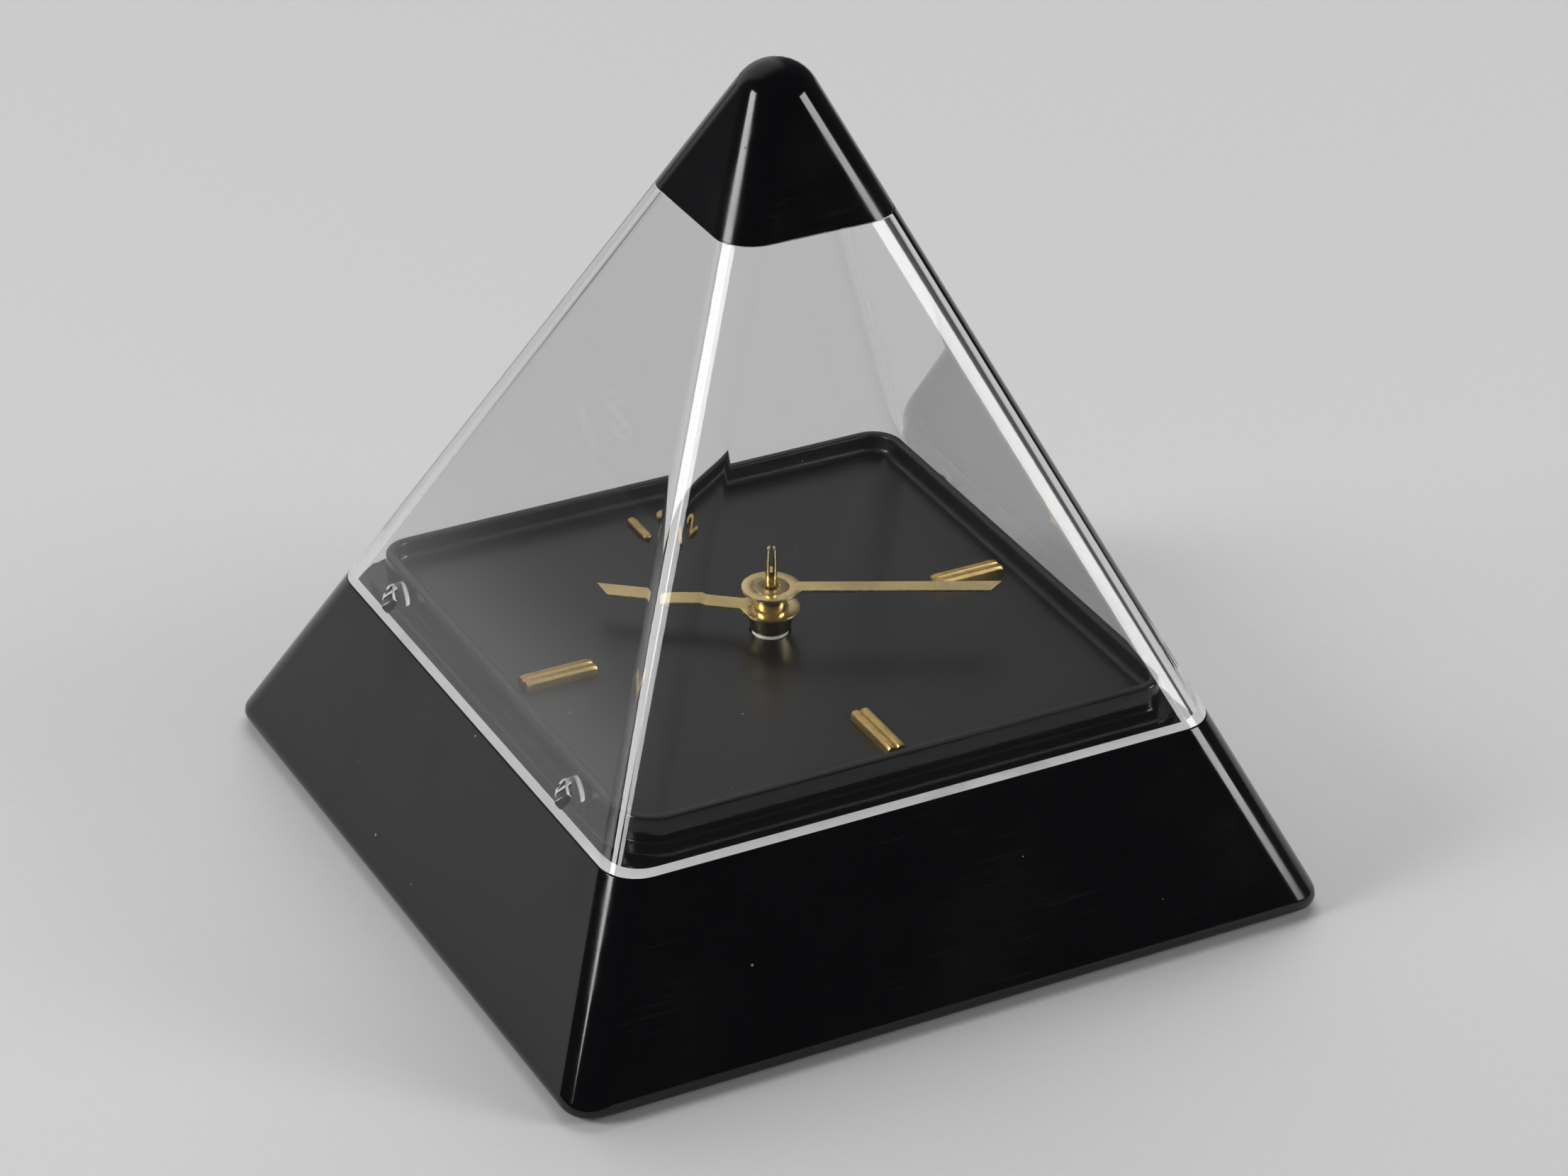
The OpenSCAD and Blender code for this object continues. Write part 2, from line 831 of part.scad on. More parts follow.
// Block filling the gear bay between two heights, smaller by gap all round
module gear_bay(gap, z_low, z_high) {
    low = bay_wall_y + move_wall / 2 + gap;
    translate([-bay_half + gap, low, z_low])
        cube([2 * (bay_half - gap), bay_half - gap - low, z_high - z_low]);
}

module movement_case() {
    color("#1d1d1f")
    difference() {
        union() {
            round_plate(move_w / 2, 2, z_move, z_dial_low);
            for (x = [-1, 1])
                translate([x * (move_w / 2 + 2) - 3, -4, z_dial_low - ear_boss_h - ear_t])
                    cube([6, 8, ear_t]);
            for (x = [-1, 1])
                rod([x * ear_x, 0], ear_r + 1, z_dial_low - ear_boss_h - ear_t, z_dial_low - ear_boss_h);
        }
        difference() {
            gear_bay(0, z_move - 1, z_plate);
            at_plate_posts()
                rod([0, 0], case_post_r, z_train, z_plate + 1);
        }
        translate([-bay_half, -bay_half, z_move - 1])
            cube([2 * bay_half, bay_wall_y - move_wall / 2 + bay_half, z_plate - z_move + 1]);
        rod([0, 0], hour_tube_r + play, z_plate - 1, z_dial_low + 1);
        at_train_pivots()
            rod([0, 0], pivot_r + play, z_plate - 1, z_plate + 0.8);
        rod(setting_at, pivot_r + play, z_plate - 1, z_plate + 0.8);
        for (x = [-1, 1])
            rod([x * ear_x, 0], ear_screw_r + 0.3, z_move, z_dial_low - ear_boss_h + 1);
    }
}

module movement_back() {
    color("#d9d9d6")
    difference() {
        gear_bay(0.15, z_move, z_lid);
        rod(setting_at, 1.2 + play, z_move - 1, z_lid + 1);
    }
}

module gear_plate() {
    color("#efeee6")
    difference() {
        union() {
            gear_bay(0.15, z_gear_plate, z_train);
            for (x = [-1, 1]) {
                rod([x * (core_reach - limb_w / 2), coil_y], plate_post_r, z_train - eps, z_stator);
                rod([x * (core_reach - limb_w / 2), coil_y], 0.6, z_train, z_core + stator_t + 0.4);
            }
            at_plate_posts()
                rod([0, 0], plate_post_r, z_lid, z_gear_plate + eps);
        }
        rod(centre_at, pivot_r + play, z_lid, z_train + 1);
        at_train_pivots()
            rod([0, 0], pivot_r + play, z_lid, z_train + 1);
        rod(setting_at, 1.2 + play, z_lid - 1, z_train + 1);
    }
}

module stator() {
    arm = 4.4;
    color("#8d9096")
    difference() {
        translate([0, 0, z_stator])
            linear_extrude(stator_t) {
                translate([-core_reach, rotor_at[1] - arm])
                    square([2 * core_reach, 8]);
                for (x = [-1, 1])
                    translate([x * (core_reach - limb_w / 2) - limb_w / 2, rotor_at[1] - arm])
                        square([limb_w, coil_y + core_w / 2 - rotor_at[1] + arm]);
            }
        rod(rotor_at, magnet_r + 0.4, z_stator - 1, z_core + 1);
        for (x = [-1, 1])
            rod([x * (core_reach - limb_w / 2), coil_y], 0.6, z_stator - 1, z_core + 1);
    }
}

module coil_core() {
    color("#8d9096")
    difference() {
        translate([-core_reach, coil_y - core_w / 2, z_core])
            cube([2 * core_reach, core_w, stator_t]);
        for (x = [-1, 1])
            rod([x * (core_reach - limb_w / 2), coil_y], 0.6, z_core - 1, z_core + stator_t + 1);
    }
}

// Rod lying along X through the coil
module coil_rod(r, half) {
    translate([-half, coil_y, coil_z])
        rotate([0, 90, 0])
            cylinder(r = r, h = 2 * half);
}

module coil_bobbin() {
    color("#2f5f3a")
    difference() {
        union() {
            coil_rod(bobbin_r, coil_half);
            for (x = [-1, 1])
                translate([x * (coil_half + bobbin_flange_t / 2), coil_y, coil_z])
                    rotate([0, 90, 0])
                        cylinder(r = coil_r + 0.3, h = bobbin_flange_t, center = true);
        }
        translate([-core_reach, coil_y - core_w / 2, z_core])
            cube([2 * core_reach, core_w, stator_t]);
    }
}

module coil_winding() {
    color("#a8602c")
    difference() {
        coil_rod(coil_r, coil_half);
        coil_rod(bobbin_r, coil_half + 1);
    }
}

module circuit_board() {
    color("#2f6b3f")
    translate([board_x, board_y, z_board])
        cube([board_w, board_l, board_t]);
}

module clock_chip() {
    blob_r = 2.6;
    color("#101010")
    translate([board_x + board_w / 2, board_y + 4, z_board - 1])
        cylinder(r1 = blob_r * 0.8, r2 = blob_r, h = 1);
}

module quartz_crystal() {
    can_r = 1.05;
    can_l = 6;
    color("#c4c8cc")
    translate([board_x + board_w / 2 - can_l / 2, board_y + 11, z_board - can_r])
        rotate([0, 90, 0])
            cylinder(r = can_r, h = can_l);
}

// Strip against the end wall of the battery bay, with a raised part that touches the battery
module contact(bump_r, reach) {
    strip_t = 0.4;
    strip_w = 9;
    strip_h = 12;
    translate([bay_half - strip_t, cell_y - strip_w / 2, cell_z - strip_h / 2])
        cube([strip_t, strip_w, strip_h]);
    translate([bay_half - strip_t - reach, cell_y, cell_z])
        rotate([0, 90, 0])
            cylinder(r1 = bump_r * 0.6, r2 = bump_r, h = reach + eps);
}

module positive_contact() {
    color("#c9c4b4")
    contact(2, bay_half - 0.4 - cell_l / 2 - nub_l / 2);
}

module negative_contact() {
    color("#c9c4b4")
    mirror([1, 0, 0])
        contact(3.4, bay_half - 0.4 - cell_l / 2 - nub_l / 2);
}

module battery() {
    color("#b8862b")
    translate([-(cell_l + nub_l) / 2, cell_y, cell_z])
        rotate([0, 90, 0])
            union() {
                cylinder(r = cell_r, h = cell_l);
                cylinder(r = nub_r, h = cell_l + nub_l);
            }
}

module movement_screws() {
    color("#b9bcc0")
    for (x = [-1, 1])
        translate([x * ear_x, 0, z_dial_low - ear_boss_h - ear_t])
            screw(ear_screw_r, ear_t + ear_boss_h, 2, 1.1);
}

// ================================================================ bottom

module bottom_cover() {
    notch_r = 6;
    color("#1b1b1d")
    difference() {
        round_plate(bottom_half, edge_r - 0.5, z_under, z_bottom_in);
        at_corners(screw_at) {
            rod([0, 0], screw_r + 0.25, z_under - 1, z_bottom_in + 1);
            rod([0, 0], screw_head_r + 0.2, z_under - 1, z_under + screw_head_h);
        }
        at_corners(foot_at)
            rod([0, 0], foot_r, z_under - 1, z_under + foot_sink);
        rod(setting_at, knob_r + knob_room, z_under - 1, z_bottom_in + 1);
        translate([-door_half, door_front, z_under - 1])
            cube([2 * door_half, door_back - door_front, bottom_t + 2]);
        translate([-door_half - hinge_pin_l - play, hinge_y, hinge_z])
            rotate([0, 90, 0])
                cylinder(r = hinge_pin_r + play, h = 2 * (door_half + hinge_pin_l + play));
        translate([0, door_front, z_under - 1])
            cylinder(r = notch_r, h = 1 + bottom_t / 3);
    }
}

module battery_door() {
    half = door_half - door_gap;
    front = door_front + door_gap;
    color("#1b1b1d")
    difference() {
        union() {
            translate([-half, front, z_under])
                cube([2 * half, hinge_y - front, bottom_t]);
            translate([-half, hinge_y, hinge_z])
                rotate([0, 90, 0])
                    cylinder(r = hinge_r, h = 2 * half);
            translate([-door_half - hinge_pin_l, hinge_y, hinge_z])
                rotate([0, 90, 0])
                    cylinder(r = hinge_pin_r, h = 2 * (door_half + hinge_pin_l));
        }
        for (i = [0 : 4])
            translate([-8, front + 3 + 1.6 * i, z_under - eps])
                cube([16, 0.8, 0.4]);
    }
}

module feet() {
    color("#2a2a2a")
    at_corners(foot_at)
        rod([0, 0], foot_r, 0, z_under + foot_sink);
}

module base_screws() {
    color("#b9bcc0")
    at_corners(screw_at)
        translate([0, 0, z_under + screw_head_h])
            screw(screw_r, screw_l + bottom_t - screw_head_h - 0.5, screw_head_r, screw_head_h);
}

base_shell();
clear_cover();
apex_cap();
dial_tray();
baton_3();
baton_6();
baton_9();
figure_one();
figure_two();
hour_hand();
hour_hand_bush();
minute_hand();
minute_hand_bush();
seconds_arbor();
seconds_wheel();
cannon_pinion();
hour_wheel();
centre_wheel();
third_wheel();
intermediate_wheel();
rotor_magnet();
rotor_pinion();
motion_wheel();
setting_arbor();
setting_knob();
movement_case();
movement_back();
gear_plate();
stator();
coil_core();
coil_bobbin();
coil_winding();
circuit_board();
clock_chip();
quartz_crystal();
positive_contact();
negative_contact();
battery();
movement_screws();
bottom_cover();
battery_door();
feet();
base_screws();
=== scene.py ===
"""Looks of the pyramid desk clock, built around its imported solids.

Shapes are drawn in millimetres and scaled to metres when a piece is finished.
+Z is up, +Y points to 12 o'clock and +X to 3 o'clock.
"""

import json
import math

import bmesh
import bpy
from mathutils import Matrix, Vector, noise


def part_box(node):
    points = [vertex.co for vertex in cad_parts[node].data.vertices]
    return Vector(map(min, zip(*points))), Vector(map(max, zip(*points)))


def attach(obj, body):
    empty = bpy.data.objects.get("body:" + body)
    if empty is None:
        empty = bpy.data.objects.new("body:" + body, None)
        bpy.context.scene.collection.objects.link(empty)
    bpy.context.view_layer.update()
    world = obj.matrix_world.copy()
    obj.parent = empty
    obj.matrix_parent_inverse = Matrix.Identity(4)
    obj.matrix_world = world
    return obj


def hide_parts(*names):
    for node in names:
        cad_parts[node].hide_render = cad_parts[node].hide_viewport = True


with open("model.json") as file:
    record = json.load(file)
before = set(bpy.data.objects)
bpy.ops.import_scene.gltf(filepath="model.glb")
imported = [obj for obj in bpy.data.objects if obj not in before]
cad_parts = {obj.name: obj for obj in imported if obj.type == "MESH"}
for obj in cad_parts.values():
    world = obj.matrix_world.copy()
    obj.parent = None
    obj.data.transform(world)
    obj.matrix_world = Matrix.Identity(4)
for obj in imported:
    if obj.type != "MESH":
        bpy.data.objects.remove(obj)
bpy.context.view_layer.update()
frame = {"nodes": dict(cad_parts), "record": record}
NODES = frame["nodes"]

MM = 0.001
TINY = 1e-4
UP = Vector((0, 0, 1))
CENTRE = Vector((0, 0, 0))
CORNERS = ((1, 1), (-1, 1), (-1, -1), (1, -1))
SIDES = ((1, 0), (0, 1), (-1, 0), (0, -1))


def box_mm(node):
    """Lowest and highest corner of a solid, in millimetres."""
    low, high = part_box(node)
    return low / MM, high / MM


# ---------------------------------------------------------------- sizes, in millimetres
EDGE_R = 6.0              # rounded sloping edges and tip
FOOT_EDGE_R = 1.7         # between the faces and the underside
SEAM_EDGE_R = 0.18        # upper edge of the base
CLEAR_EDGE_R = 0.12       # edges of the cover and lower edge of the cap
OPENING_EDGE_R = 0.25
OPENING_GAP = 0.3         # round the bottom cover
BASE_WALL = 2.5
INNER_UP = 0.2            # where the inner wall starts, above the bottom cover
COVER_WALL = 2.0
CAP_WALL = 2.0
COLLAR_IN = 1.1           # outside of the cover's collar, in from the faces
LEDGE_T = 2.0
LEDGE_W = 7.5
LEDGE_CORNER_R = 5.0
BOSS_R = 3.5              # posts for the four screws
BOSS_OUT = 0.5            # their middles, out from the ledge's corners
JOINT = 0.04              # air between two shells at a seam
LUG_R = 1.9
LUG_SUNK = 0.3            # how far the lugs reach below the seam
LUG_EDGE_R = 0.35
LUG_PLACES = (-30.0, 25.0)  # along the left face, seen from its middle; the right face is turned round
LUG_BITE = 0.6            # how far a lug enters the rim
LUG_ROOM = 0.15           # gap round a lug in the rim
RIM_T = 1.4
RIM_CORNER_R = 4.5
RIM_GAP = 0.55            # between the rim and the cover
DIAL_T = 1.6
DIAL_HOLE_GAP = 0.3
FLANGE_T = 1.0            # the tray's flange on the ledge
SKIRT_T = 1.5             # the tray's skirt inside the ledge
SKIRT_GAP = 0.2
SKIRT_CORNER_R = 4.8
SKIRT_INNER_R = 4.0
SKIRT_FOOT = 1.0          # height of the skirt's lower edge above the tray's lowest point
HOUR_W = 2.8
MINUTE_W = 2.4
TIP_SLOPE = 0.7           # slant of a hand's tip, as a share of its width
HAND_EDGE_R = 0.07
ROOT_R = 0.55             # fillet between the blade and the round centre
DISC_R = 4.0              # round centre of a hand
BUSH_R = 2.5              # bush in the minute hand
BUSH_STEP = 0.25          # flange of that bush, out from its neck
BUSH_WALL = 0.8
CUP_WALL = 0.2            # foot of the hour hand's bush
HOUR_TUBE_R = 2.5
SECONDS_R = 0.8
SECONDS_HOLE_GAP = 0.4    # round the seconds arbor in the minute hand's bush
PIVOT_R = 0.4             # thin lower part of the seconds arbor
PIVOT_DOWN = 6.0          # from the minute hand's bush to that part
SLOT_W = 0.4
SLOT_DEEP = 0.57          # as a share of the arbor's free end
SLOT_TURN = math.radians(62)
FOOT_R = 4.5
NUB_R = 2.75              # positive end of the battery
NUB_H = 1.0
CORNER_STEPS = 12         # facets in the quarter turn of a corner
RING_STEPS = 4 * (CORNER_STEPS + 1)
TURNED_STEPS = 72

shell_low, shell_high = box_mm("base_shell")
cover_high = box_mm("clear_cover")[1]
cap_low, cap_high = box_mm("apex_cap")
tray_low, tray_high = box_mm("dial_tray")
plate_high = box_mm("bottom_cover")[1]

z_under = shell_low.z
z_seam = shell_high.z
z_cap = cap_low.z
z_collar = cover_high.z
z_dial = box_mm("baton_6")[0].z
z_rim = tray_high.z
z_bottom_in = plate_high.z
half_seam = cover_high.x
half_cap = cap_high.x
lean = (half_seam - half_cap) / (z_cap - z_seam)
slant = math.sqrt(1 + lean * lean)
FACE_NORMALS = [Vector((x, y, lean)).normalized() for x, y in SIDES]
# Angle through which a face turns into the underside
foot_turn = math.pi / 2 + math.atan(lean)


def half_at(z, inset=0.0):
    """Half the width between two faces moved inwards by inset, at height z."""
    return half_seam - lean * (z - z_seam) - inset * slant


rim_half = half_at(z_rim, COVER_WALL) - RIM_GAP
z_lug = z_seam + LUG_R - LUG_SUNK
lug_tip = rim_half - LUG_BITE


# ---------------------------------------------------------------- mesh tools
def bevel(bm, edges, width, steps=3, clamp=True):
    """Rounds edges and returns the new faces."""
    return bmesh.ops.bevel(bm, geom=edges, offset=width, offset_type="OFFSET", segments=steps,
                           profile=0.5, affect="EDGES", clamp_overlap=clamp, material=-1)["faces"]


def sharp_edges(bm, angle=40):
    """Edges at which two faces turn by more than angle, in degrees."""
    limit = math.radians(angle)
    return [e for e in bm.edges if len(e.link_faces) == 2 and e.calc_face_angle(0) > limit]


def by_angle(outline):
    """Corners of an outline in order round the Z axis."""
    return sorted({v for e in outline for v in e.verts}, key=lambda v: math.atan2(v.co.y, v.co.x))


def bridge(bm, one, other):
    """Closes the gap between two outlines with as many corners and returns the new faces."""
    near, far = by_angle(one), by_angle(other)
    return [bm.faces.new((near[i - 1], near[i], far[i], far[i - 1])) for i in range(len(near))]


def fill(bm, outline):
    """Closes one outline with a face."""
    return bmesh.ops.edgeloop_fill(bm, edges=outline)["faces"]


def added(bm, part):
    """Adds a part to a mesh and returns the edges it brought."""
    for edge in bm.edges:
        edge.tag = True
    carrier = bpy.data.meshes.new("carrier")
    part.to_mesh(carrier)
    part.free()
    bm.from_mesh(carrier)
    bpy.data.meshes.remove(carrier)
    return [edge for edge in bm.edges if not edge.tag]


def square_loop(bm, half, radius, z):
    """Level square outline with round corners."""
    part = bmesh.new()
    corners = [part.verts.new((x * half, y * half, z)) for x, y in CORNERS]
    part.faces.new(corners)
    bmesh.ops.bevel(part, geom=corners, offset=radius, offset_type="OFFSET", segments=CORNER_STEPS,
                    profile=0.5, affect="VERTICES", clamp_overlap=False, material=-1)
    bmesh.ops.delete(part, geom=part.faces[:], context="FACES_ONLY")
    return added(bm, part)


def ring_loop(bm, radius, z, steps=RING_STEPS, at=(0, 0)):
    """Level round outline with no corner on an axis."""
    part = bmesh.new()
    turn = Matrix.Rotation(math.pi / steps, 4, "Z")
    bmesh.ops.create_circle(part, segments=steps, radius=radius, cap_ends=False,
                            matrix=Matrix.Translation((at[0], at[1], z)) @ turn)
    return added(bm, part)


def tip(bm, middle, radius):
    """Adds the rounded tip on which four faces meet."""
    right, back, left, front = FACE_NORMALS
    rows = []
    for i in range(CORNER_STEPS + 1):
        one, other = right.slerp(back, i / CORNER_STEPS), front.slerp(left, i / CORNER_STEPS)
        rows.append([bm.verts.new(middle + radius * one.slerp(other, j / CORNER_STEPS))
                     for j in range(CORNER_STEPS + 1)])
    for row, following in zip(rows, rows[1:]):
        for j in range(CORNER_STEPS):
            bm.faces.new((row[j], following[j], following[j + 1], row[j + 1]))


def skin(bm, inset, radius, z_low, z_high=None):
    """Adds the sloping skin of the pyramid, moved inwards by inset, and returns its end outlines.

    Without z_high it runs up to the rounded tip.
    """
    middle = Vector((0, 0, z_seam + (half_seam - (inset + radius) * slant) / lean))
    low, high = [], []
    for corner, (x, y) in enumerate(CORNERS):
        down = Vector((x * lean, y * lean, -1))
        one, other = FACE_NORMALS[corner], FACE_NORMALS[(corner + 1) % 4]
        for i in range(CORNER_STEPS + 1):
            start = middle + radius * one.slerp(other, i / CORNER_STEPS)
            low.append(bm.verts.new(start + (start.z - z_low) * down))
            high.append(bm.verts.new(start if z_high is None else start + (start.z - z_high) * down))
    for i in range(len(low)):
        bm.faces.new((low[i - 1], low[i], high[i], high[i - 1]))
    ends = [[bm.edges.get((row[i - 1], row[i])) for i in range(len(row))] for row in (low, high)]
    if z_high is None:
        tip(bm, middle, radius)
        bmesh.ops.remove_doubles(bm, verts=bm.verts, dist=TINY)
    return ends


def rod(bm, radius, z_low, z_high, at=(0, 0), steps=32, turn=Matrix.Identity(4)):
    """Adds a closed round rod."""
    place = Matrix.Translation((at[0], at[1], (z_low + z_high) / 2))
    bmesh.ops.create_cone(bm, segments=steps, radius1=radius, radius2=radius, depth=z_high - z_low,
                          cap_ends=True, matrix=turn @ place)


def turned(profile, steps=TURNED_STEPS, closed=True):
    """Solid turned on a lathe from (radius, height) points."""
    bm = bmesh.new()
    points = [bm.verts.new((r, 0, z)) for r, z in profile]
    pairs = list(zip(points, points[1:])) + ([(points[-1], points[0])] if closed else [])
    edges = [bm.edges.new(pair) for pair in pairs]
    bmesh.ops.spin(bm, geom=points + edges, cent=CENTRE, axis=UP, angle=2 * math.pi, steps=steps,
                   use_merge=True, use_duplicate=False)
    bmesh.ops.remove_doubles(bm, verts=bm.verts, dist=TINY)
    bmesh.ops.recalc_face_normals(bm, faces=bm.faces)
    return bm


def arc(centre, radius, start, end, steps):
    """Points on an arc between two angles, in degrees, both ends included."""
    angles = [math.radians(start + (end - start) * i / steps) for i in range(steps + 1)]
    return [(centre[0] + radius * math.cos(a), centre[1] + radius * math.sin(a)) for a in angles]


def plate(outline, hole_r, z_low, z_high):
    """Flat plate of an outline, with a round hole at the origin if hole_r is set."""
    bm = bmesh.new()
    points = [bm.verts.new((x, y, z_low)) for x, y in outline]
    edges = [bm.edges.new(pair) for pair in zip(points, points[1:] + points[:1])]
    if hole_r:
        edges = edges + ring_loop(bm, hole_r, z_low, TURNED_STEPS)
    bmesh.ops.triangle_fill(bm, edges=edges, use_beauty=True, use_dissolve=False)
    lifted = bmesh.ops.extrude_face_region(bm, geom=bm.faces[:])["geom"]
    bmesh.ops.translate(bm, verts=[v for v in lifted if isinstance(v, bmesh.types.BMVert)],
                        vec=(0, 0, z_high - z_low))
    bmesh.ops.recalc_face_normals(bm, faces=bm.faces)
    return bm


def combined(bm, tool, operation):
    """Joins a tool to a mesh, or cuts it away."""
    holders = []
    for part in (bm, tool):
        mesh = bpy.data.meshes.new("work")
        part.to_mesh(mesh)
        part.free()
        holder = bpy.data.objects.new("work", mesh)
        bpy.context.scene.collection.objects.link(holder)
        holders.append(holder)
    body, cutter = holders
    step = body.modifiers.new("step", "BOOLEAN")
    step.operation = operation
    step.solver = "EXACT"
    step.object = cutter
    result = bmesh.new()
    result.from_object(body, bpy.context.evaluated_depsgraph_get())
    for holder in holders:
        bpy.data.meshes.remove(holder.data)
    return result


def softened(node, width, steps=2, angle=40):
    """Copy of a solid with its sharp edges rounded."""
    bm = bmesh.new()
    bm.from_mesh(NODES[node].data)
    bmesh.ops.scale(bm, vec=(1 / MM,) * 3, verts=bm.verts)
    bmesh.ops.remove_doubles(bm, verts=bm.verts, dist=10 * TINY)
    bmesh.ops.dissolve_limit(bm, angle_limit=math.radians(1), verts=bm.verts, edges=bm.edges)
    bevel(bm, sharp_edges(bm, angle), width, steps)
    return bm


def piece(name, bm, node, materials=(), crease=35):
    """Turns a mesh into a finished piece that stands for a solid and rides on its body."""
    slot = SLOT_OF[node]
    bmesh.ops.scale(bm, vec=(MM,) * 3, verts=bm.verts)
    for face in bm.faces:
        face.smooth = True
    limit = math.radians(crease)
    for edge in bm.edges:
        edge.smooth = len(edge.link_faces) == 2 and edge.calc_face_angle(0) < limit
    mesh = bpy.data.meshes.new(name)
    bm.to_mesh(mesh)
    bm.free()
    for material in materials or [MATERIALS[slot]]:
        mesh.materials.append(material)
    made = bpy.data.objects.new(name, mesh)
    bpy.context.scene.collection.objects.link(made)
    weighted = made.modifiers.new("even shading", "WEIGHTED_NORMAL")
    weighted.keep_sharp = True
    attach(made, BODY_OF[node])
    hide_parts(node)


# ---------------------------------------------------------------- shared effects
def effect(name, inputs, outputs):
    """New node group with float inputs, a Vector input, and the outputs named."""
    tree = bpy.data.node_groups.new(name, "ShaderNodeTree")
    tree.interface.new_socket("Vector", in_out="INPUT", socket_type="NodeSocketVector")
    for label, value in inputs.items():
        socket = tree.interface.new_socket(label, in_out="INPUT", socket_type="NodeSocketFloat")
        socket.default_value = value
    for label in outputs:
        tree.interface.new_socket(label, in_out="OUTPUT", socket_type="NodeSocketFloat")
    return tree, tree.nodes.new("NodeGroupInput"), tree.nodes.new("NodeGroupOutput")


def maths(tree, operation, one, other=None):
    """Math node on sockets or plain numbers; returns its result."""
    node = tree.nodes.new("ShaderNodeMath")
    node.operation = operation
    for socket, value in zip(node.inputs, (one, other)):
        if isinstance(value, bpy.types.NodeSocket):
            tree.links.new(value, socket)
        elif value is not None:
            socket.default_value = value
    return node.outputs[0]


def ramped(tree, value, low, high, to_low=0.0, to_high=1.0):
    """Value carried smoothly from one range to another."""
    node = tree.nodes.new("ShaderNodeMapRange")
    node.interpolation_type = "SMOOTHSTEP"
    tree.links.new(value, node.inputs["Value"])
    for label, number in (("From Min", low), ("From Max", high), ("To Min", to_low), ("To Max", to_high)):
        node.inputs[label].default_value = number
    return node.outputs["Result"]


def stretched(tree, vector, scale, turn=(0, 0, 0)):
    """Coordinates turned and stretched."""
    node = tree.nodes.new("ShaderNodeMapping")
    tree.links.new(vector, node.inputs["Vector"])
    node.inputs["Scale"].default_value = scale
    node.inputs["Rotation"].default_value = turn
    return node.outputs["Vector"]


def noise_value(tree, vector, scale, detail=3.0, rough=0.5):
    """Cloudy value between 0 and 1."""
    node = tree.nodes.new("ShaderNodeTexNoise")
    tree.links.new(vector, node.inputs["Vector"])
    if isinstance(scale, bpy.types.NodeSocket):
        tree.links.new(scale, node.inputs["Scale"])
    else:
        node.inputs["Scale"].default_value = scale
    node.inputs["Detail"].default_value = detail
    node.inputs["Roughness"].default_value = rough
    return node.outputs[0]


def make_dust():
    """Scattered pale specks and lint: Density is the share of cells that hold one."""
    tree, start, end = effect("dust", {"Scale": 450.0, "Density": 0.2, "Size": 0.16}, ("Mask",))
    cells = tree.nodes.new("ShaderNodeTexVoronoi")
    tree.links.new(start.outputs["Vector"], cells.inputs["Vector"])
    tree.links.new(start.outputs["Scale"], cells.inputs["Scale"])
    split = tree.nodes.new("ShaderNodeSeparateColor")
    tree.links.new(cells.outputs["Color"], split.inputs[0])
    present = maths(tree, "LESS_THAN", split.outputs[0], start.outputs["Density"])
    reach = maths(tree, "MULTIPLY", split.outputs[1], start.outputs["Size"])
    spot = maths(tree, "LESS_THAN", cells.outputs["Distance"], reach)
    tree.links.new(maths(tree, "MULTIPLY", present, spot), end.inputs["Mask"])
    return tree


def make_scratches():
    """Fine crossed hairlines, broken up in patches."""
    tree, start, end = effect("scratches", {"Scale": 60.0, "Amount": 0.5}, ("Mask",))
    lines = []
    for turn in (0.5, -0.9, 2.2):
        along = stretched(tree, start.outputs["Vector"], (1.0, 45.0, 20.0), (turn, 0.3, turn))
        value = noise_value(tree, along, start.outputs["Scale"], detail=1.0)
        lines.append(ramped(tree, value, 0.69, 0.74))
    both = maths(tree, "MAXIMUM", maths(tree, "MAXIMUM", lines[0], lines[1]), lines[2])
    patches = ramped(tree, noise_value(tree, start.outputs["Vector"], 70.0), 0.45, 0.62)
    mask = maths(tree, "MULTIPLY", maths(tree, "MULTIPLY", both, patches), start.outputs["Amount"])
    tree.links.new(mask, end.inputs["Mask"])
    return tree


def make_wear():
    """Edges rubbed bright or pale, with a ragged border."""
    tree, start, end = effect("edge wear", {"Amount": 0.5}, ("Mask",))
    soft = tree.nodes.new("ShaderNodeBevel")
    soft.samples = 4
    soft.inputs["Radius"].default_value = 0.3 * MM
    plain = tree.nodes.new("ShaderNodeNewGeometry")
    facing = tree.nodes.new("ShaderNodeVectorMath")
    facing.operation = "DOT_PRODUCT"
    tree.links.new(soft.outputs[0], facing.inputs[0])
    tree.links.new(plain.outputs["Normal"], facing.inputs[1])
    turn = ramped(tree, facing.outputs["Value"], 0.9, 0.999, 1.0, 0.0)
    ragged = ramped(tree, noise_value(tree, start.outputs["Vector"], 900.0), 0.4, 0.62)
    mask = maths(tree, "MULTIPLY", maths(tree, "MULTIPLY", turn, ragged), start.outputs["Amount"])
    tree.links.new(mask, end.inputs["Mask"])
    return tree


def make_grain():
    """Fine moulded or cast texture with slower waves under it."""
    tree, start, end = effect("grain", {"Scale": 3000.0}, ("Height", "Cloud"))
    fine = noise_value(tree, start.outputs["Vector"], start.outputs["Scale"], 4.0)
    cloud = noise_value(tree, start.outputs["Vector"], 60.0, 4.0, 0.6)
    tree.links.new(fine, end.inputs["Height"])
    tree.links.new(cloud, end.inputs["Cloud"])
    return tree


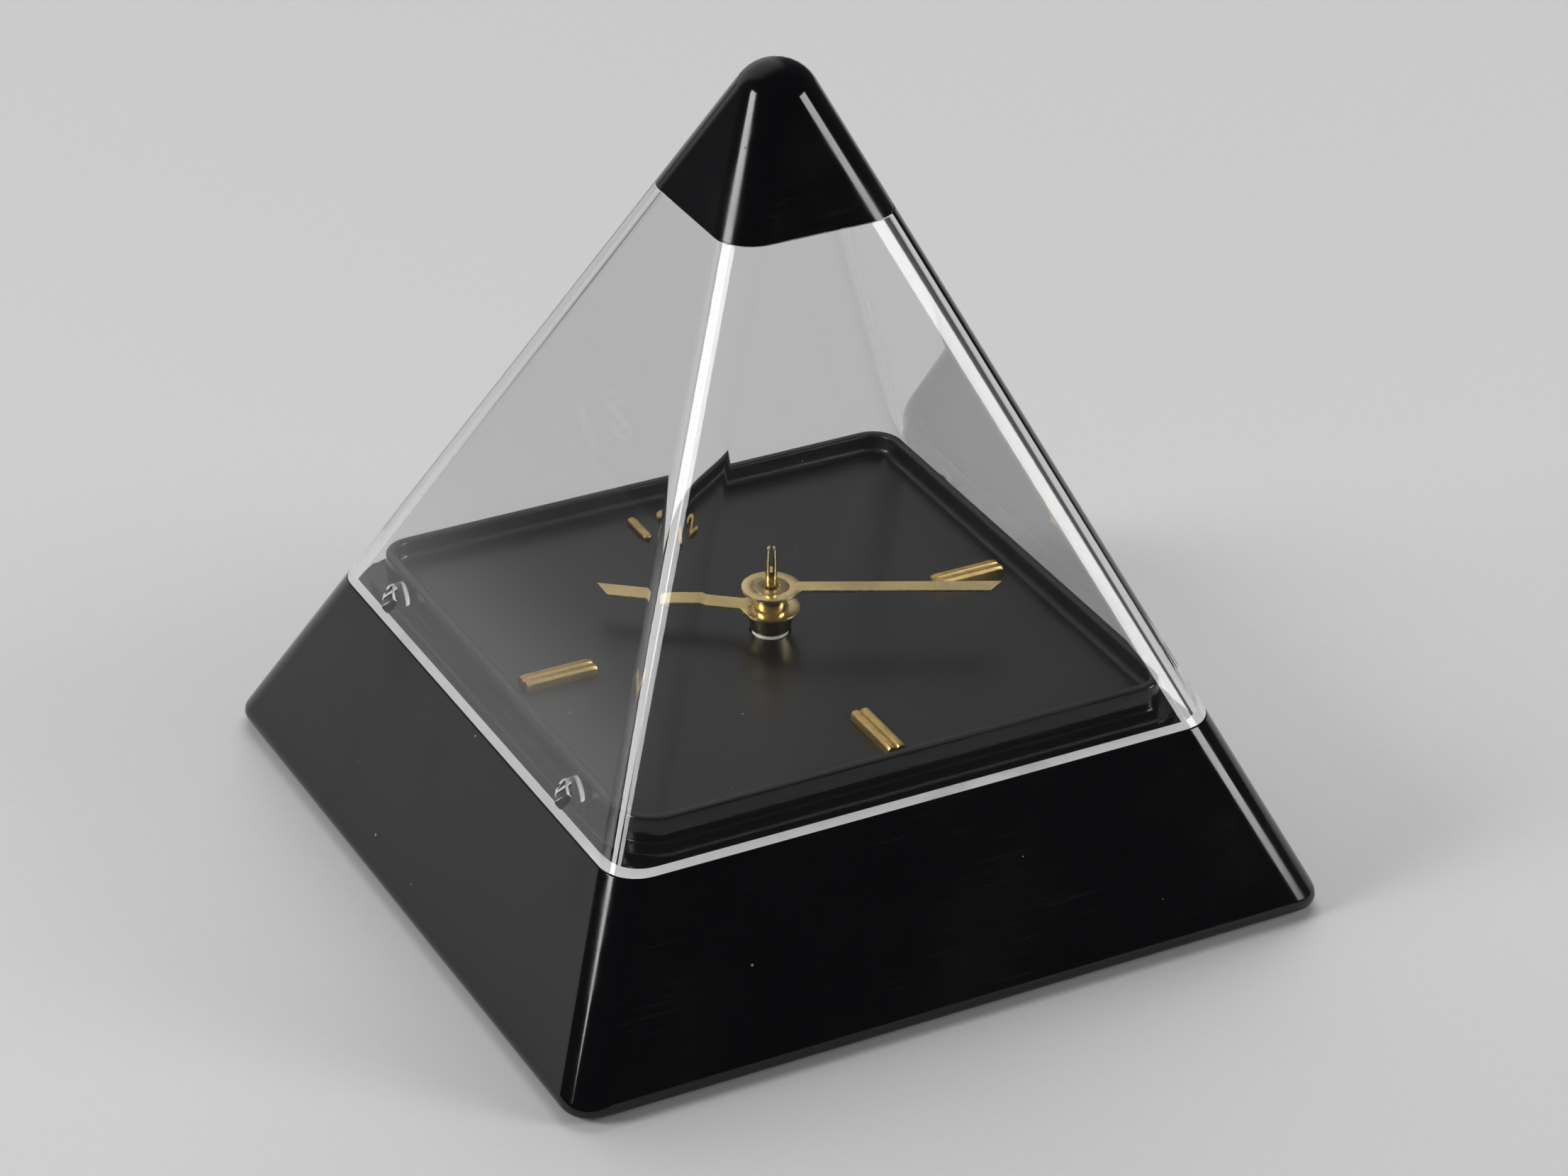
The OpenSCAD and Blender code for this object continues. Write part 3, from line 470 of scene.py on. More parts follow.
def make_brushed():
    """Straight brush lines along X, with broad soft bands."""
    tree, start, end = effect("brushed", {"Scale": 500.0}, ("Height", "Bands"))
    along = stretched(tree, start.outputs["Vector"], (0.04, 6.0, 6.0))
    tree.links.new(noise_value(tree, along, start.outputs["Scale"], 3.0, 0.7), end.inputs["Height"])
    broad = stretched(tree, start.outputs["Vector"], (0.15, 1.0, 1.0))
    tree.links.new(noise_value(tree, broad, 260.0, 2.0), end.inputs["Bands"])
    return tree


def make_lathe():
    """Tool lines round the Z axis, on sides and on end faces."""
    tree, start, end = effect("lathe lines", {"Scale": 9000.0}, ("Height", "Bands"))
    split = tree.nodes.new("ShaderNodeSeparateXYZ")
    tree.links.new(start.outputs["Vector"], split.inputs[0])
    squares = [maths(tree, "MULTIPLY", split.outputs[i], split.outputs[i]) for i in (0, 1)]
    radius = maths(tree, "SQRT", maths(tree, "ADD", squares[0], squares[1]))
    travel = maths(tree, "ADD", radius, split.outputs[2])
    for label, scale in (("Height", None), ("Bands", 1500.0)):
        lines = tree.nodes.new("ShaderNodeTexNoise")
        lines.noise_dimensions = "1D"
        tree.links.new(travel, lines.inputs["W"])
        if scale:
            lines.inputs["Scale"].default_value = scale
        else:
            tree.links.new(start.outputs["Scale"], lines.inputs["Scale"])
        tree.links.new(lines.outputs[0], end.inputs[label])
    return tree


def make_tarnish():
    """Slow clouds and small spots of age on brass."""
    tree, start, end = effect("tarnish", {"Amount": 0.5}, ("Mask",))
    clouds = ramped(tree, noise_value(tree, start.outputs["Vector"], 240.0, 5.0, 0.65), 0.42, 0.7)
    spots = ramped(tree, noise_value(tree, start.outputs["Vector"], 1500.0, 3.0), 0.6, 0.72)
    both = maths(tree, "MAXIMUM", clouds, spots)
    tree.links.new(maths(tree, "MULTIPLY", both, start.outputs["Amount"]), end.inputs["Mask"])
    return tree


EFFECTS = {made.name: made for made in (make_dust(), make_scratches(), make_wear(), make_grain(),
                                        make_brushed(), make_lathe(), make_tarnish())}


class Finish:
    """A material while it is being wired: its shader, and the layers that feed it."""

    def __init__(self, name, colour, roughness, **sockets):
        self.material = bpy.data.materials.new(name)
        self.material.use_nodes = True
        self.tree = self.material.node_tree
        self.shader = self.tree.nodes["Principled BSDF"]
        self.shader.inputs["Base Color"].default_value = (*colour, 1)
        self.shader.inputs["Roughness"].default_value = roughness
        for label, value in sockets.items():
            self.shader.inputs[label.replace("_", " ")].default_value = value
        self.coords = self.tree.nodes.new("ShaderNodeTexCoord").outputs["Object"]
        self.colour = None
        self.rough = None
        self.normal = None

    def turned(self, angle):
        """Turns the pattern's X axis to lie at angle round Z."""
        self.coords = stretched(self.tree, self.coords, (1, 1, 1), (0, 0, -angle))
        return self

    def effect(self, name, **values):
        """Places a shared effect, with its own values."""
        node = self.tree.nodes.new("ShaderNodeGroup")
        node.node_tree = EFFECTS[name]
        self.tree.links.new(self.coords, node.inputs["Vector"])
        for label, value in values.items():
            node.inputs[label].default_value = value
        return node.outputs

    def laid(self, name, colour, roughness, **values):
        """Lays a colour and a roughness over what a shared effect picks out."""
        self.layer(self.effect(name, **values)["Mask"], colour, roughness)

    def layer(self, mask, colour, roughness=None):
        """Lays a colour, and a roughness, over what is there where the mask is white."""
        mix = self.tree.nodes.new("ShaderNodeMix")
        mix.data_type = "RGBA"
        self.tree.links.new(mask, mix.inputs[0])
        if self.colour is None:
            mix.inputs[6].default_value = self.shader.inputs["Base Color"].default_value
        else:
            self.tree.links.new(self.colour, mix.inputs[6])
        mix.inputs[7].default_value = (*colour, 1)
        self.colour = mix.outputs[2]
        self.tree.links.new(self.colour, self.shader.inputs["Base Color"])
        if roughness is not None:
            self.roughen(mask, roughness)
        return self

    def roughen(self, mask, roughness):
        """Carries the roughness towards a value where the mask is white."""
        mix = self.tree.nodes.new("ShaderNodeMix")
        self.tree.links.new(mask, mix.inputs[0])
        if self.rough is None:
            mix.inputs[2].default_value = self.shader.inputs["Roughness"].default_value
        else:
            self.tree.links.new(self.rough, mix.inputs[2])
        mix.inputs[3].default_value = roughness
        self.rough = mix.outputs[0]
        self.tree.links.new(self.rough, self.shader.inputs["Roughness"])
        return self

    def bump(self, height, depth, strength=1.0):
        """Raises the surface by a height, depth in millimetres."""
        node = self.tree.nodes.new("ShaderNodeBump")
        node.inputs["Distance"].default_value = depth * MM
        node.inputs["Strength"].default_value = strength
        self.tree.links.new(height, node.inputs["Height"])
        if self.normal is not None:
            self.tree.links.new(self.normal, node.inputs["Normal"])
        self.normal = node.outputs[0]
        self.tree.links.new(self.normal, self.shader.inputs["Normal"])
        return self


# ---------------------------------------------------------------- materials
def shell_black():
    """Gloss black styrene with hairlines, dust and rubbed edges."""
    finish = Finish("shell_black", (0.003, 0.003, 0.004), 0.07, IOR=1.45)
    grain = finish.effect("grain", Scale=1400.0)
    finish.roughen(ramped(finish.tree, grain["Cloud"], 0.35, 0.75), 0.2)
    scratch = finish.effect("scratches", Scale=90.0, Amount=0.22)["Mask"]
    finish.layer(scratch, (0.02, 0.02, 0.022), 0.3)
    finish.laid("edge wear", (0.02, 0.02, 0.022), 0.3, Amount=0.3)
    finish.laid("dust", (0.3, 0.3, 0.3), 0.8, Scale=420.0, Density=0.1, Size=0.11)
    finish.bump(grain["Cloud"], 0.02, 0.25)
    finish.bump(scratch, 0.004, 0.4)
    return finish.material


def cover_clear():
    """Clear acrylic; lamps shine through it."""
    finish = Finish("cover_clear", (0.98, 0.98, 0.98), 0.0, IOR=1.49, Transmission_Weight=1.0)
    scratch = finish.effect("scratches", Scale=50.0, Amount=0.5)["Mask"]
    cloud = finish.effect("grain", Scale=900.0)["Cloud"]
    finish.roughen(scratch, 0.12)
    finish.bump(cloud, 0.01, 0.12)
    through = finish.tree.nodes.new("ShaderNodeBsdfTransparent")
    through.inputs[0].default_value = (0.92, 0.92, 0.92, 1)
    path = finish.tree.nodes.new("ShaderNodeLightPath")
    choice = finish.tree.nodes.new("ShaderNodeMixShader")
    finish.tree.links.new(path.outputs["Is Shadow Ray"], choice.inputs[0])
    finish.tree.links.new(finish.shader.outputs[0], choice.inputs[1])
    finish.tree.links.new(through.outputs[0], choice.inputs[2])
    finish.tree.links.new(choice.outputs[0], finish.tree.nodes["Material Output"].inputs[0])
    return finish.material


def cover_edge():
    """Sanded lower edge of the cover, seen white through the clear wall. The lugs' rounded edges take it too,
    as a painted highlight: the bright ring round each lug.
    """
    finish = Finish("cover_edge", (0.62, 0.63, 0.63), 0.6)
    grain = finish.effect("grain", Scale=2500.0)
    finish.layer(ramped(finish.tree, grain["Cloud"], 0.5, 0.7), (0.42, 0.43, 0.43), 0.7)
    finish.bump(grain["Height"], 0.03)
    return finish.material


def dial_black():
    """Satin black moulding with a fine even texture, a little dusty."""
    finish = Finish("dial_black", (0.007, 0.007, 0.0075), 0.3)
    grain = finish.effect("grain", Scale=5200.0)
    finish.layer(ramped(finish.tree, grain["Cloud"], 0.4, 0.75), (0.01, 0.01, 0.0105), 0.36)
    finish.laid("scratches", (0.03, 0.03, 0.03), 0.3, Scale=60.0, Amount=0.2)
    finish.laid("dust", (0.35, 0.35, 0.35), 0.9, Scale=520.0, Density=0.06, Size=0.1)
    finish.bump(grain["Height"], 0.012, 0.6)
    return finish.material


def gilt_marker():
    """Muted gilt on the hour bars and figures."""
    finish = Finish("gilt_marker", (0.78, 0.56, 0.22), 0.34, Metallic=1.0)
    finish.laid("tarnish", (0.36, 0.24, 0.09), 0.5, Amount=0.6)
    finish.laid("edge wear", (0.85, 0.7, 0.42), 0.22, Amount=0.5)
    finish.bump(finish.effect("grain", Scale=6000.0)["Height"], 0.012, 0.7)
    return finish.material


def gilt_hand(name, angle):
    """Pale gilt sheet, brushed along the hand."""
    finish = Finish(name, (0.93, 0.74, 0.37), 0.26, Metallic=1.0).turned(angle)
    brushed = finish.effect("brushed", Scale=900.0)
    finish.layer(ramped(finish.tree, brushed["Bands"], 0.35, 0.75), (0.82, 0.63, 0.3), 0.36)
    finish.laid("tarnish", (0.5, 0.36, 0.16), 0.42, Amount=0.3)
    finish.laid("edge wear", (0.95, 0.88, 0.7), 0.15, Amount=0.6)
    finish.bump(brushed["Height"], 0.004, 0.5)
    return finish.material


def turned_brass():
    """Polished brass with lathe lines."""
    finish = Finish("turned_brass", (0.82, 0.7, 0.36), 0.12, Metallic=1.0)
    lathe = finish.effect("lathe lines", Scale=9000.0)
    finish.layer(ramped(finish.tree, lathe["Bands"], 0.4, 0.7), (0.72, 0.58, 0.27), 0.18)
    finish.laid("tarnish", (0.45, 0.34, 0.15), 0.3, Amount=0.3)
    finish.bump(lathe["Height"], 0.006, 0.5)
    return finish.material


def moulded(name, colour, shade, roughness, scale=3500.0, depth=0.02, dusty=0.06):
    """Moulded plastic or rubber: a fine texture, a slow change of shade, worn edges and dust."""
    finish = Finish(name, colour, roughness)
    grain = finish.effect("grain", Scale=scale)
    finish.layer(ramped(finish.tree, grain["Cloud"], 0.35, 0.75), shade, min(1, roughness + 0.12))
    pale = tuple(min(1, 0.03 + 1.8 * c) for c in colour)
    finish.laid("edge wear", pale, roughness * 0.8, Amount=0.4)
    finish.laid("dust", (0.45, 0.44, 0.42), 0.9, Scale=600.0, Density=dusty, Size=0.14)
    finish.bump(grain["Height"], depth)
    return finish.material


def metal(name, colour, shade, roughness, pattern="grain", scale=2500.0, depth=0.006):
    """Plated, cast or stamped metal with clouds of tarnish."""
    finish = Finish(name, colour, roughness, Metallic=1.0)
    height = finish.effect(pattern, Scale=scale)["Height"]
    finish.layer(finish.effect("tarnish", Amount=0.6)["Mask"], shade, min(1, roughness + 0.2))
    bright = tuple(min(1, 1.3 * c) for c in colour)
    finish.laid("edge wear", bright, roughness / 2, Amount=0.5)
    finish.bump(height, depth)
    return finish.material


def copper_wire():
    """Fine enamelled wire, wound round the coil that lies along X."""
    finish = Finish("copper_wire", (0.5, 0.19, 0.06), 0.28, Metallic=1.0)
    turns = finish.tree.nodes.new("ShaderNodeTexWave")
    turns.bands_direction = "X"
    turns.inputs["Scale"].default_value = 1100.0
    turns.inputs["Distortion"].default_value = 0.4
    finish.tree.links.new(finish.coords, turns.inputs["Vector"])
    # Crowns of the turns lighter and glossier, grooves between them darker: painted sheen and painted shade
    # on the winding.
    finish.layer(turns.outputs[1], (0.72, 0.33, 0.12), 0.2)
    finish.bump(turns.outputs[1], 0.03)
    return finish.material


def board_green():
    """Circuit board: copper tracks under green lacquer."""
    finish = Finish("board_green", (0.02, 0.14, 0.05), 0.25)
    tracks = finish.tree.nodes.new("ShaderNodeTexBrick")
    tracks.inputs["Scale"].default_value = 500.0
    tracks.inputs["Mortar Size"].default_value = 0.09
    finish.tree.links.new(finish.coords, tracks.inputs["Vector"])
    finish.layer(tracks.outputs["Fac"], (0.06, 0.3, 0.1))
    finish.laid("dust", (0.4, 0.4, 0.38), 0.8, Scale=700.0, Density=0.05, Size=0.14)
    finish.bump(tracks.outputs["Fac"], 0.03, 0.6)
    return finish.material


def cell_case():
    """Printed sleeve of the battery: a dark body with a coppery shoulder at the positive end."""
    finish = Finish("cell_case", (0.02, 0.02, 0.022), 0.22, Metallic=0.4)
    split = finish.tree.nodes.new("ShaderNodeSeparateXYZ")
    finish.tree.links.new(finish.coords, split.inputs[0])
    finish.layer(ramped(finish.tree, split.outputs[0], 10.9 * MM, 11.0 * MM), (0.62, 0.3, 0.1))
    scratch = finish.effect("scratches", Scale=80.0, Amount=0.6)["Mask"]
    finish.layer(scratch, (0.3, 0.28, 0.25), 0.45)
    finish.bump(finish.effect("grain", Scale=1200.0)["Cloud"], 0.03, 0.4)
    return finish.material


# Moulded pieces: colour, shade, roughness, then how fine and deep the texture is, and the dust
MOULDED = {
    "gear_plastic": ((0.8, 0.77, 0.68), (0.7, 0.66, 0.56), 0.38, 5000.0, 0.008),
    "movement_black": ((0.012, 0.012, 0.013), (0.02, 0.02, 0.021), 0.42, 2600.0, 0.03),
    "movement_white": ((0.72, 0.71, 0.67), (0.62, 0.6, 0.55), 0.4, 3000.0, 0.02),
    "bobbin_green": ((0.03, 0.16, 0.06), (0.02, 0.11, 0.04), 0.4),
    "chip_black": ((0.012, 0.012, 0.012), (0.02, 0.02, 0.02), 0.3, 900.0, 0.05),
    "foot_rubber": ((0.018, 0.018, 0.018), (0.03, 0.03, 0.03), 0.75, 2200.0, 0.05, 0.2),
}
# Metal pieces: colour, tarnish, roughness, then the pattern, how fine it is and how deep
METALS = {
    "magnet_grey": ((0.14, 0.14, 0.15), (0.08, 0.07, 0.07), 0.55, "grain", 2500.0, 0.02),
    "stator_steel": ((0.5, 0.5, 0.52), (0.33, 0.32, 0.32), 0.35, "brushed", 700.0),
    "plated_steel": ((0.66, 0.65, 0.62), (0.42, 0.4, 0.36), 0.25),
}
MATERIALS = {make.__name__: make() for make in (shell_black, cover_clear, dial_black, gilt_marker,
                                                turned_brass, copper_wire, board_green, cell_case)}
MATERIALS["gilt_hand"] = gilt_hand("gilt_hand", 0)
MATERIALS.update({name: moulded(name, *values) for name, values in MOULDED.items()})
MATERIALS.update({name: metal(name, *values) for name, values in METALS.items()})

SLOT_OF = {part["node"]: part["material_slot"] for part in frame["record"]["subparts"]}
BODY_OF = {node: body for body, names in frame["record"]["behaviour"]["bodies"].items() for node in names}
# The gear plate is moulded in the movement's white
for solid, its_slot in {**SLOT_OF, "gear_plate": "movement_white"}.items():
    NODES[solid].data.materials.clear()
    NODES[solid].data.materials.append(MATERIALS[its_slot])


# ---------------------------------------------------------------- shells
def base_shell():
    """Hollow black base: outer faces, rounded foot, opening, inner wall and the ledge for the dial."""
    bm = bmesh.new()
    foot, seam = skin(bm, 0, EDGE_R, z_under, z_seam - JOINT)
    fill(bm, foot)
    bevel(bm, foot, FOOT_EDGE_R * math.tan(foot_turn / 2), 6, clamp=False)
    sole = [f for f in bm.faces if all(abs(v.co.z - z_under) < TINY for v in f.verts)]
    edge = list(sole[0].edges)
    bmesh.ops.delete(bm, geom=sole, context="FACES_ONLY")
    opening_half = plate_high.x + OPENING_GAP
    opening = square_loop(bm, opening_half, EDGE_R, z_under)
    opening_top = square_loop(bm, opening_half, EDGE_R, z_bottom_in)
    bridge(bm, edge, opening)
    bridge(bm, opening, opening_top)
    inner_low, inner_high = skin(bm, BASE_WALL, EDGE_R - BASE_WALL, z_bottom_in + INNER_UP, z_seam - LEDGE_T)
    bridge(bm, opening_top, inner_low)
    ledge_half = half_at(z_seam) - LEDGE_W
    ledge_low = square_loop(bm, ledge_half, LEDGE_CORNER_R, z_seam - LEDGE_T)
    ledge_high = square_loop(bm, ledge_half, LEDGE_CORNER_R, z_seam - JOINT)
    bridge(bm, inner_high, ledge_low)
    bridge(bm, ledge_low, ledge_high)
    bridge(bm, ledge_high, seam)
    bmesh.ops.recalc_face_normals(bm, faces=bm.faces)
    bevel(bm, seam, SEAM_EDGE_R)
    bevel(bm, opening, OPENING_EDGE_R, 2)
    boss_at = ledge_half + BOSS_OUT
    for x, y in CORNERS:
        rod(bm, BOSS_R, z_bottom_in, z_seam - LEDGE_T, (x * boss_at, y * boss_at))
    piece("black_base", bm, "base_shell")


def lugs(radius, start, length):
    """Rods at the four places where the cover locks into the tray, start being their inner end."""
    bm = bmesh.new()
    for side in (0, math.pi):
        for y in LUG_PLACES:
            turn = Matrix.Rotation(side, 4, "Z") @ Matrix.Translation((0, y, z_lug))
            rod(bm, radius, start, start + length, steps=40, turn=turn @ Matrix.Rotation(math.pi / 2, 4, "Y"))
    return bm


def clear_cover():
    """Hollow clear pyramid, open at the top, with a collar for the cap and four lugs."""
    bm = bmesh.new()
    outer_low, outer_high = skin(bm, 0, EDGE_R, z_seam, z_cap - JOINT)
    inner_low, inner_high = skin(bm, COVER_WALL, EDGE_R - COVER_WALL, z_seam, z_collar)
    collar_low, collar_high = skin(bm, COLLAR_IN, EDGE_R - COLLAR_IN, z_cap - JOINT, z_collar)
    for face in bridge(bm, outer_low, inner_low):
        face.material_index = 1
    bridge(bm, outer_high, collar_low)
    bridge(bm, collar_high, inner_high)
    bmesh.ops.recalc_face_normals(bm, faces=bm.faces)
    bevel(bm, outer_low + outer_high, CLEAR_EDGE_R)
    pins = lugs(LUG_R, lug_tip, half_at(z_lug, COVER_WALL / 2) - lug_tip)
    # The lugs' rounded edges take the pale edge finish: a painted highlight that stands in for the bright
    # ring of light round each lug.
    for face in bevel(pins, sharp_edges(pins), LUG_EDGE_R):
        face.material_index = 1
    bm = combined(bm, pins, "UNION")
    piece("clear_pyramid", bm, "clear_cover", [MATERIALS["cover_clear"], cover_edge()], crease=30)


def apex_cap():
    """Hollow black tip with a rebate for the cover's collar."""
    bm = bmesh.new()
    z_rebate = z_collar + JOINT
    room = COLLAR_IN - JOINT
    outer = skin(bm, 0, EDGE_R, z_cap)[0]
    room_low, room_high = skin(bm, room, EDGE_R - room, z_cap, z_rebate)
    inner = skin(bm, CAP_WALL, EDGE_R - CAP_WALL, z_rebate)[0]
    bridge(bm, outer, room_low)
    bridge(bm, room_high, inner)
    bmesh.ops.recalc_face_normals(bm, faces=bm.faces)
    bevel(bm, outer, CLEAR_EDGE_R)
    piece("black_tip", bm, "apex_cap")


# Outlines of the tray after which its outer side is glossy, counted from the dial's hole
GLOSSY_OUTLINES = (4, 5, 6)
# How each of these outlines is rounded: width and facets
TRAY_EDGES = {1: (0.15, 2), 2: (0.9, 5), 3: (0.4, 4), 4: (0.4, 4), 5: (0.3, 3), 6: (0.15, 2)}
LUG_HOLE_L = 20.0


def dial_tray():
    """Square tray with a round-cornered rim, a flange, a skirt and the hole for the hour tube."""
    bm = bmesh.new()
    flange_half = tray_high.x
    z_flange = z_seam + FLANGE_T
    skirt_half = half_at(z_seam) - LEDGE_W - SKIRT_GAP
    skirt_inner = skirt_half - SKIRT_T
    z_skirt = tray_low.z + SKIRT_FOOT
    z_dial_low = z_dial - DIAL_T
    hole_r = HOUR_TUBE_R + DIAL_HOLE_GAP
    inside_r = RIM_CORNER_R - RIM_T
    chain = [
        ring_loop(bm, hole_r, z_dial_low),
        ring_loop(bm, hole_r, z_dial),
        square_loop(bm, rim_half - RIM_T, inside_r, z_dial),
        square_loop(bm, rim_half - RIM_T, inside_r, z_rim),
        square_loop(bm, rim_half, RIM_CORNER_R, z_rim),
        square_loop(bm, rim_half, RIM_CORNER_R, z_flange),
        square_loop(bm, flange_half, EDGE_R, z_flange),
        square_loop(bm, flange_half, EDGE_R, z_seam),
        square_loop(bm, skirt_half, SKIRT_CORNER_R, z_seam),
        square_loop(bm, skirt_half, SKIRT_CORNER_R, z_skirt),
        square_loop(bm, skirt_inner, SKIRT_INNER_R, z_skirt),
        square_loop(bm, skirt_inner, SKIRT_INNER_R, z_dial_low),
    ]
    for index, (one, other) in enumerate(zip(chain, chain[1:] + chain[:1])):
        for face in bridge(bm, one, other):
            face.material_index = 1 if index in GLOSSY_OUTLINES else 0
    bmesh.ops.recalc_face_normals(bm, faces=bm.faces)
    for index, (width, steps) in TRAY_EDGES.items():
        bevel(bm, chain[index], width, steps)
    bm = combined(bm, lugs(LUG_R + LUG_ROOM, lug_tip - LUG_ROOM, LUG_HOLE_L), "DIFFERENCE")
    piece("dial_dish", bm, "dial_tray", [MATERIALS["dial_black"], MATERIALS["shell_black"]])


# ---------------------------------------------------------------- dial furniture
BATON_W = 2.6
BATON_H = 1.5
BATON_STEPS = 48          # facets across a baton
REEDS = 8
REED_H = 0.035
LOBE_ROUND = 0.95         # how fully round the two lobes are
ROUGH_L = 0.5             # broken part at each end of a baton
ROUGH_OUT = 0.225         # how far its end can stand out
ROUGH_FLAT = 0.86         # height at the very end, as a share of the full height
# Lengths of a baton's rings, short towards its ends
HALF_RINGS = (0.12, 0.2, 0.4)
RINGS = HALF_RINGS + (0.9,) * 10 + HALF_RINGS[::-1]


def baton_height(y):
    """Height of a baton's top across its width: two lobes with fine reeds."""
    lobe_r = BATON_W / 4
    out = (abs(y) - lobe_r) / lobe_r
    reed = REED_H * (math.cos(2 * math.pi * REEDS * y / BATON_W) - 1)
    return BATON_H - lobe_r + lobe_r * math.sqrt(max(0, 1 - out * out)) * LOBE_ROUND + reed


def baton(node, turn):
    """Reeded bar with rough ends, lying outwards along turn."""
    low, high = box_mm(node)
    reach = max(abs(low.x), abs(low.y), abs(high.x), abs(high.y))
    start = reach - max(high.x - low.x, high.y - low.y)
    middle = (start + reach) / 2
    across = [BATON_W * (i / BATON_STEPS - 0.5) for i in range(BATON_STEPS + 1)]
    bm = bmesh.new()
    top = [bm.verts.new((start, y, z_dial + baton_height(y))) for y in across]
    feet = [bm.verts.new((start, y, z_dial)) for y in (across[-1], across[0])]
    ring = top + feet
    edges = [bm.edges.new(pair) for pair in zip(ring, ring[1:] + ring[:1])]
    fill(bm, edges)
    stretch = (reach - start) / sum(RINGS)
    for step in RINGS:
        grown = bmesh.ops.extrude_edge_only(bm, edges=edges)["geom"]
        edges = [g for g in grown if isinstance(g, bmesh.types.BMEdge)]
        points = [g for g in grown if isinstance(g, bmesh.types.BMVert)]
        bmesh.ops.translate(bm, verts=points, vec=(step * stretch, 0, 0))
    fill(bm, edges)
    for vert in bm.verts:
        to_end = min(vert.co.x - start, reach - vert.co.x)
        if to_end < ROUGH_L:
            rough = noise.noise(Vector((vert.co.y * 3, vert.co.z * 3, turn + vert.co.x)))
            inwards = math.copysign(1, middle - vert.co.x)
            vert.co.x += inwards * ROUGH_OUT * (1 - 2 * abs(rough)) * (ROUGH_L - to_end)
            share = ROUGH_FLAT + (1 - ROUGH_FLAT) * to_end / ROUGH_L
            vert.co.z = z_dial + (vert.co.z - z_dial) * share
    bmesh.ops.recalc_face_normals(bm, faces=bm.faces)
    bmesh.ops.rotate(bm, cent=CENTRE, matrix=Matrix.Rotation(turn, 3, "Z"), verts=bm.verts)
    piece(node + "_reeded", bm, node)


# ---------------------------------------------------------------- hands
def hand_shape(node):
    """Length, width and direction of a hand, from its solid, and which edge of its blade is longer."""
    points = [v.co / MM for v in NODES[node].data.vertices]
    far = max(points, key=lambda p: p.xy.length).xy
    second = max((p.xy for p in points if (p.xy - far).length > 0.5), key=lambda p: p.length)
    long = 1 if far.x * second.y - far.y * second.x < 0 else -1
    return far, second, long


def hand(name, node, width, hole_r):
    """Flat hand: round centre, blade with filleted roots and a slanted tip."""
    low, high = box_mm(node)
    far, second, long = hand_shape(node)
    half = width / 2
    length = math.sqrt(far.length_squared - half * half)
    direction = math.atan2(far.y, far.x) - long * math.atan2(half, length)
    root_y = half + ROOT_R
    root_x = math.sqrt((DISC_R + ROOT_R) ** 2 - root_y ** 2)
    root = math.degrees(math.atan2(root_y, root_x))
    slope = TIP_SLOPE * width
    ends = [(length - slope * (1 + long) / 2, -half), (length - slope * (1 - long) / 2, half)]
    outline = ends + arc((root_x, root_y), ROOT_R, 270, 180 + root, 6)
    outline += arc(CENTRE, DISC_R, root, 360 - root, 60)[1:-1]
    outline += arc((root_x, -root_y), ROOT_R, 180 - root, 90, 6)
    bm = plate(outline, hole_r, low.z, high.z)
    bevel(bm, sharp_edges(bm, 60), HAND_EDGE_R, 2)
    bmesh.ops.rotate(bm, cent=CENTRE, matrix=Matrix.Rotation(direction, 3, "Z"), verts=bm.verts)
    piece(name, bm, node, [gilt_hand(name + "_gilt", direction)])


def hour_hand_cup():
    """Conical bush that holds the hour hand."""
    low, high = box_mm("hour_hand_bush")
    top_r = high.x
    foot_r = HOUR_TUBE_R + CUP_WALL
    bm = turned([(HOUR_TUBE_R, high.z), (top_r, high.z), (top_r, high.z - 0.3), (foot_r + 0.08, low.z + 0.35),
                 (foot_r, low.z + 0.3), (foot_r, low.z), (HOUR_TUBE_R, low.z)])
    bevel(bm, sharp_edges(bm, 25), 0.06, 2)
    piece("hour_hand_cup", bm, "hour_hand_bush")


def minute_hand_collar():
    """Flanged bush that holds the minute hand, riveted over on top."""
    low, high = box_mm("minute_hand_bush")
    flange_z = box_mm("minute_hand")[0].z
    hole = SECONDS_R + SECONDS_HOLE_GAP
    neck = BUSH_R - BUSH_STEP
    bore = BUSH_R - BUSH_WALL
    bm = turned([(hole, high.z), (BUSH_R, high.z + 0.02), (BUSH_R, flange_z), (neck, flange_z),
                 (neck, low.z), (bore, low.z), (bore, flange_z), (hole, flange_z)])
    bevel(bm, sharp_edges(bm, 30), 0.05, 2)
    for face in bm.faces:
        face.material_index = 1 if face.calc_center_median().z > high.z - 0.01 else 0
    dull = metal("riveted_brass", (0.5, 0.4, 0.24), (0.26, 0.19, 0.1), 0.4, scale=5000.0, depth=0.02)
    piece("minute_hand_collar", bm, "minute_hand_bush", [MATERIALS["turned_brass"], dull])


def seconds_stem():
    """Bare arbor for a seconds hand, with a tapered and split end."""
    low, high = box_mm("seconds_arbor")
    hand_low, hand_high = box_mm("minute_hand")
    shoulder = hand_low.z - PIVOT_DOWN
    free_l = high.z - hand_high.z
    bm = turned([(0, shoulder), (SECONDS_R, shoulder), (SECONDS_R, high.z - 0.3 * free_l),
                 (0.8 * SECONDS_R, high.z - 0.12), (0.62 * SECONDS_R, high.z), (0, high.z)], 40, closed=False)
    slot_h = SLOT_DEEP * free_l
    slot = bmesh.new()
    bmesh.ops.create_cube(slot, size=1)
    bmesh.ops.scale(slot, vec=(6, SLOT_W, 2 * slot_h), verts=slot.verts)
    bmesh.ops.translate(slot, vec=(0, 0, high.z), verts=slot.verts)
    bmesh.ops.rotate(slot, cent=CENTRE, matrix=Matrix.Rotation(SLOT_TURN, 3, "Z"), verts=slot.verts)
    bm = combined(bm, slot, "DIFFERENCE")
    rod(bm, PIVOT_R, low.z, shoulder, steps=24)
    piece("seconds_stem", bm, "seconds_arbor")


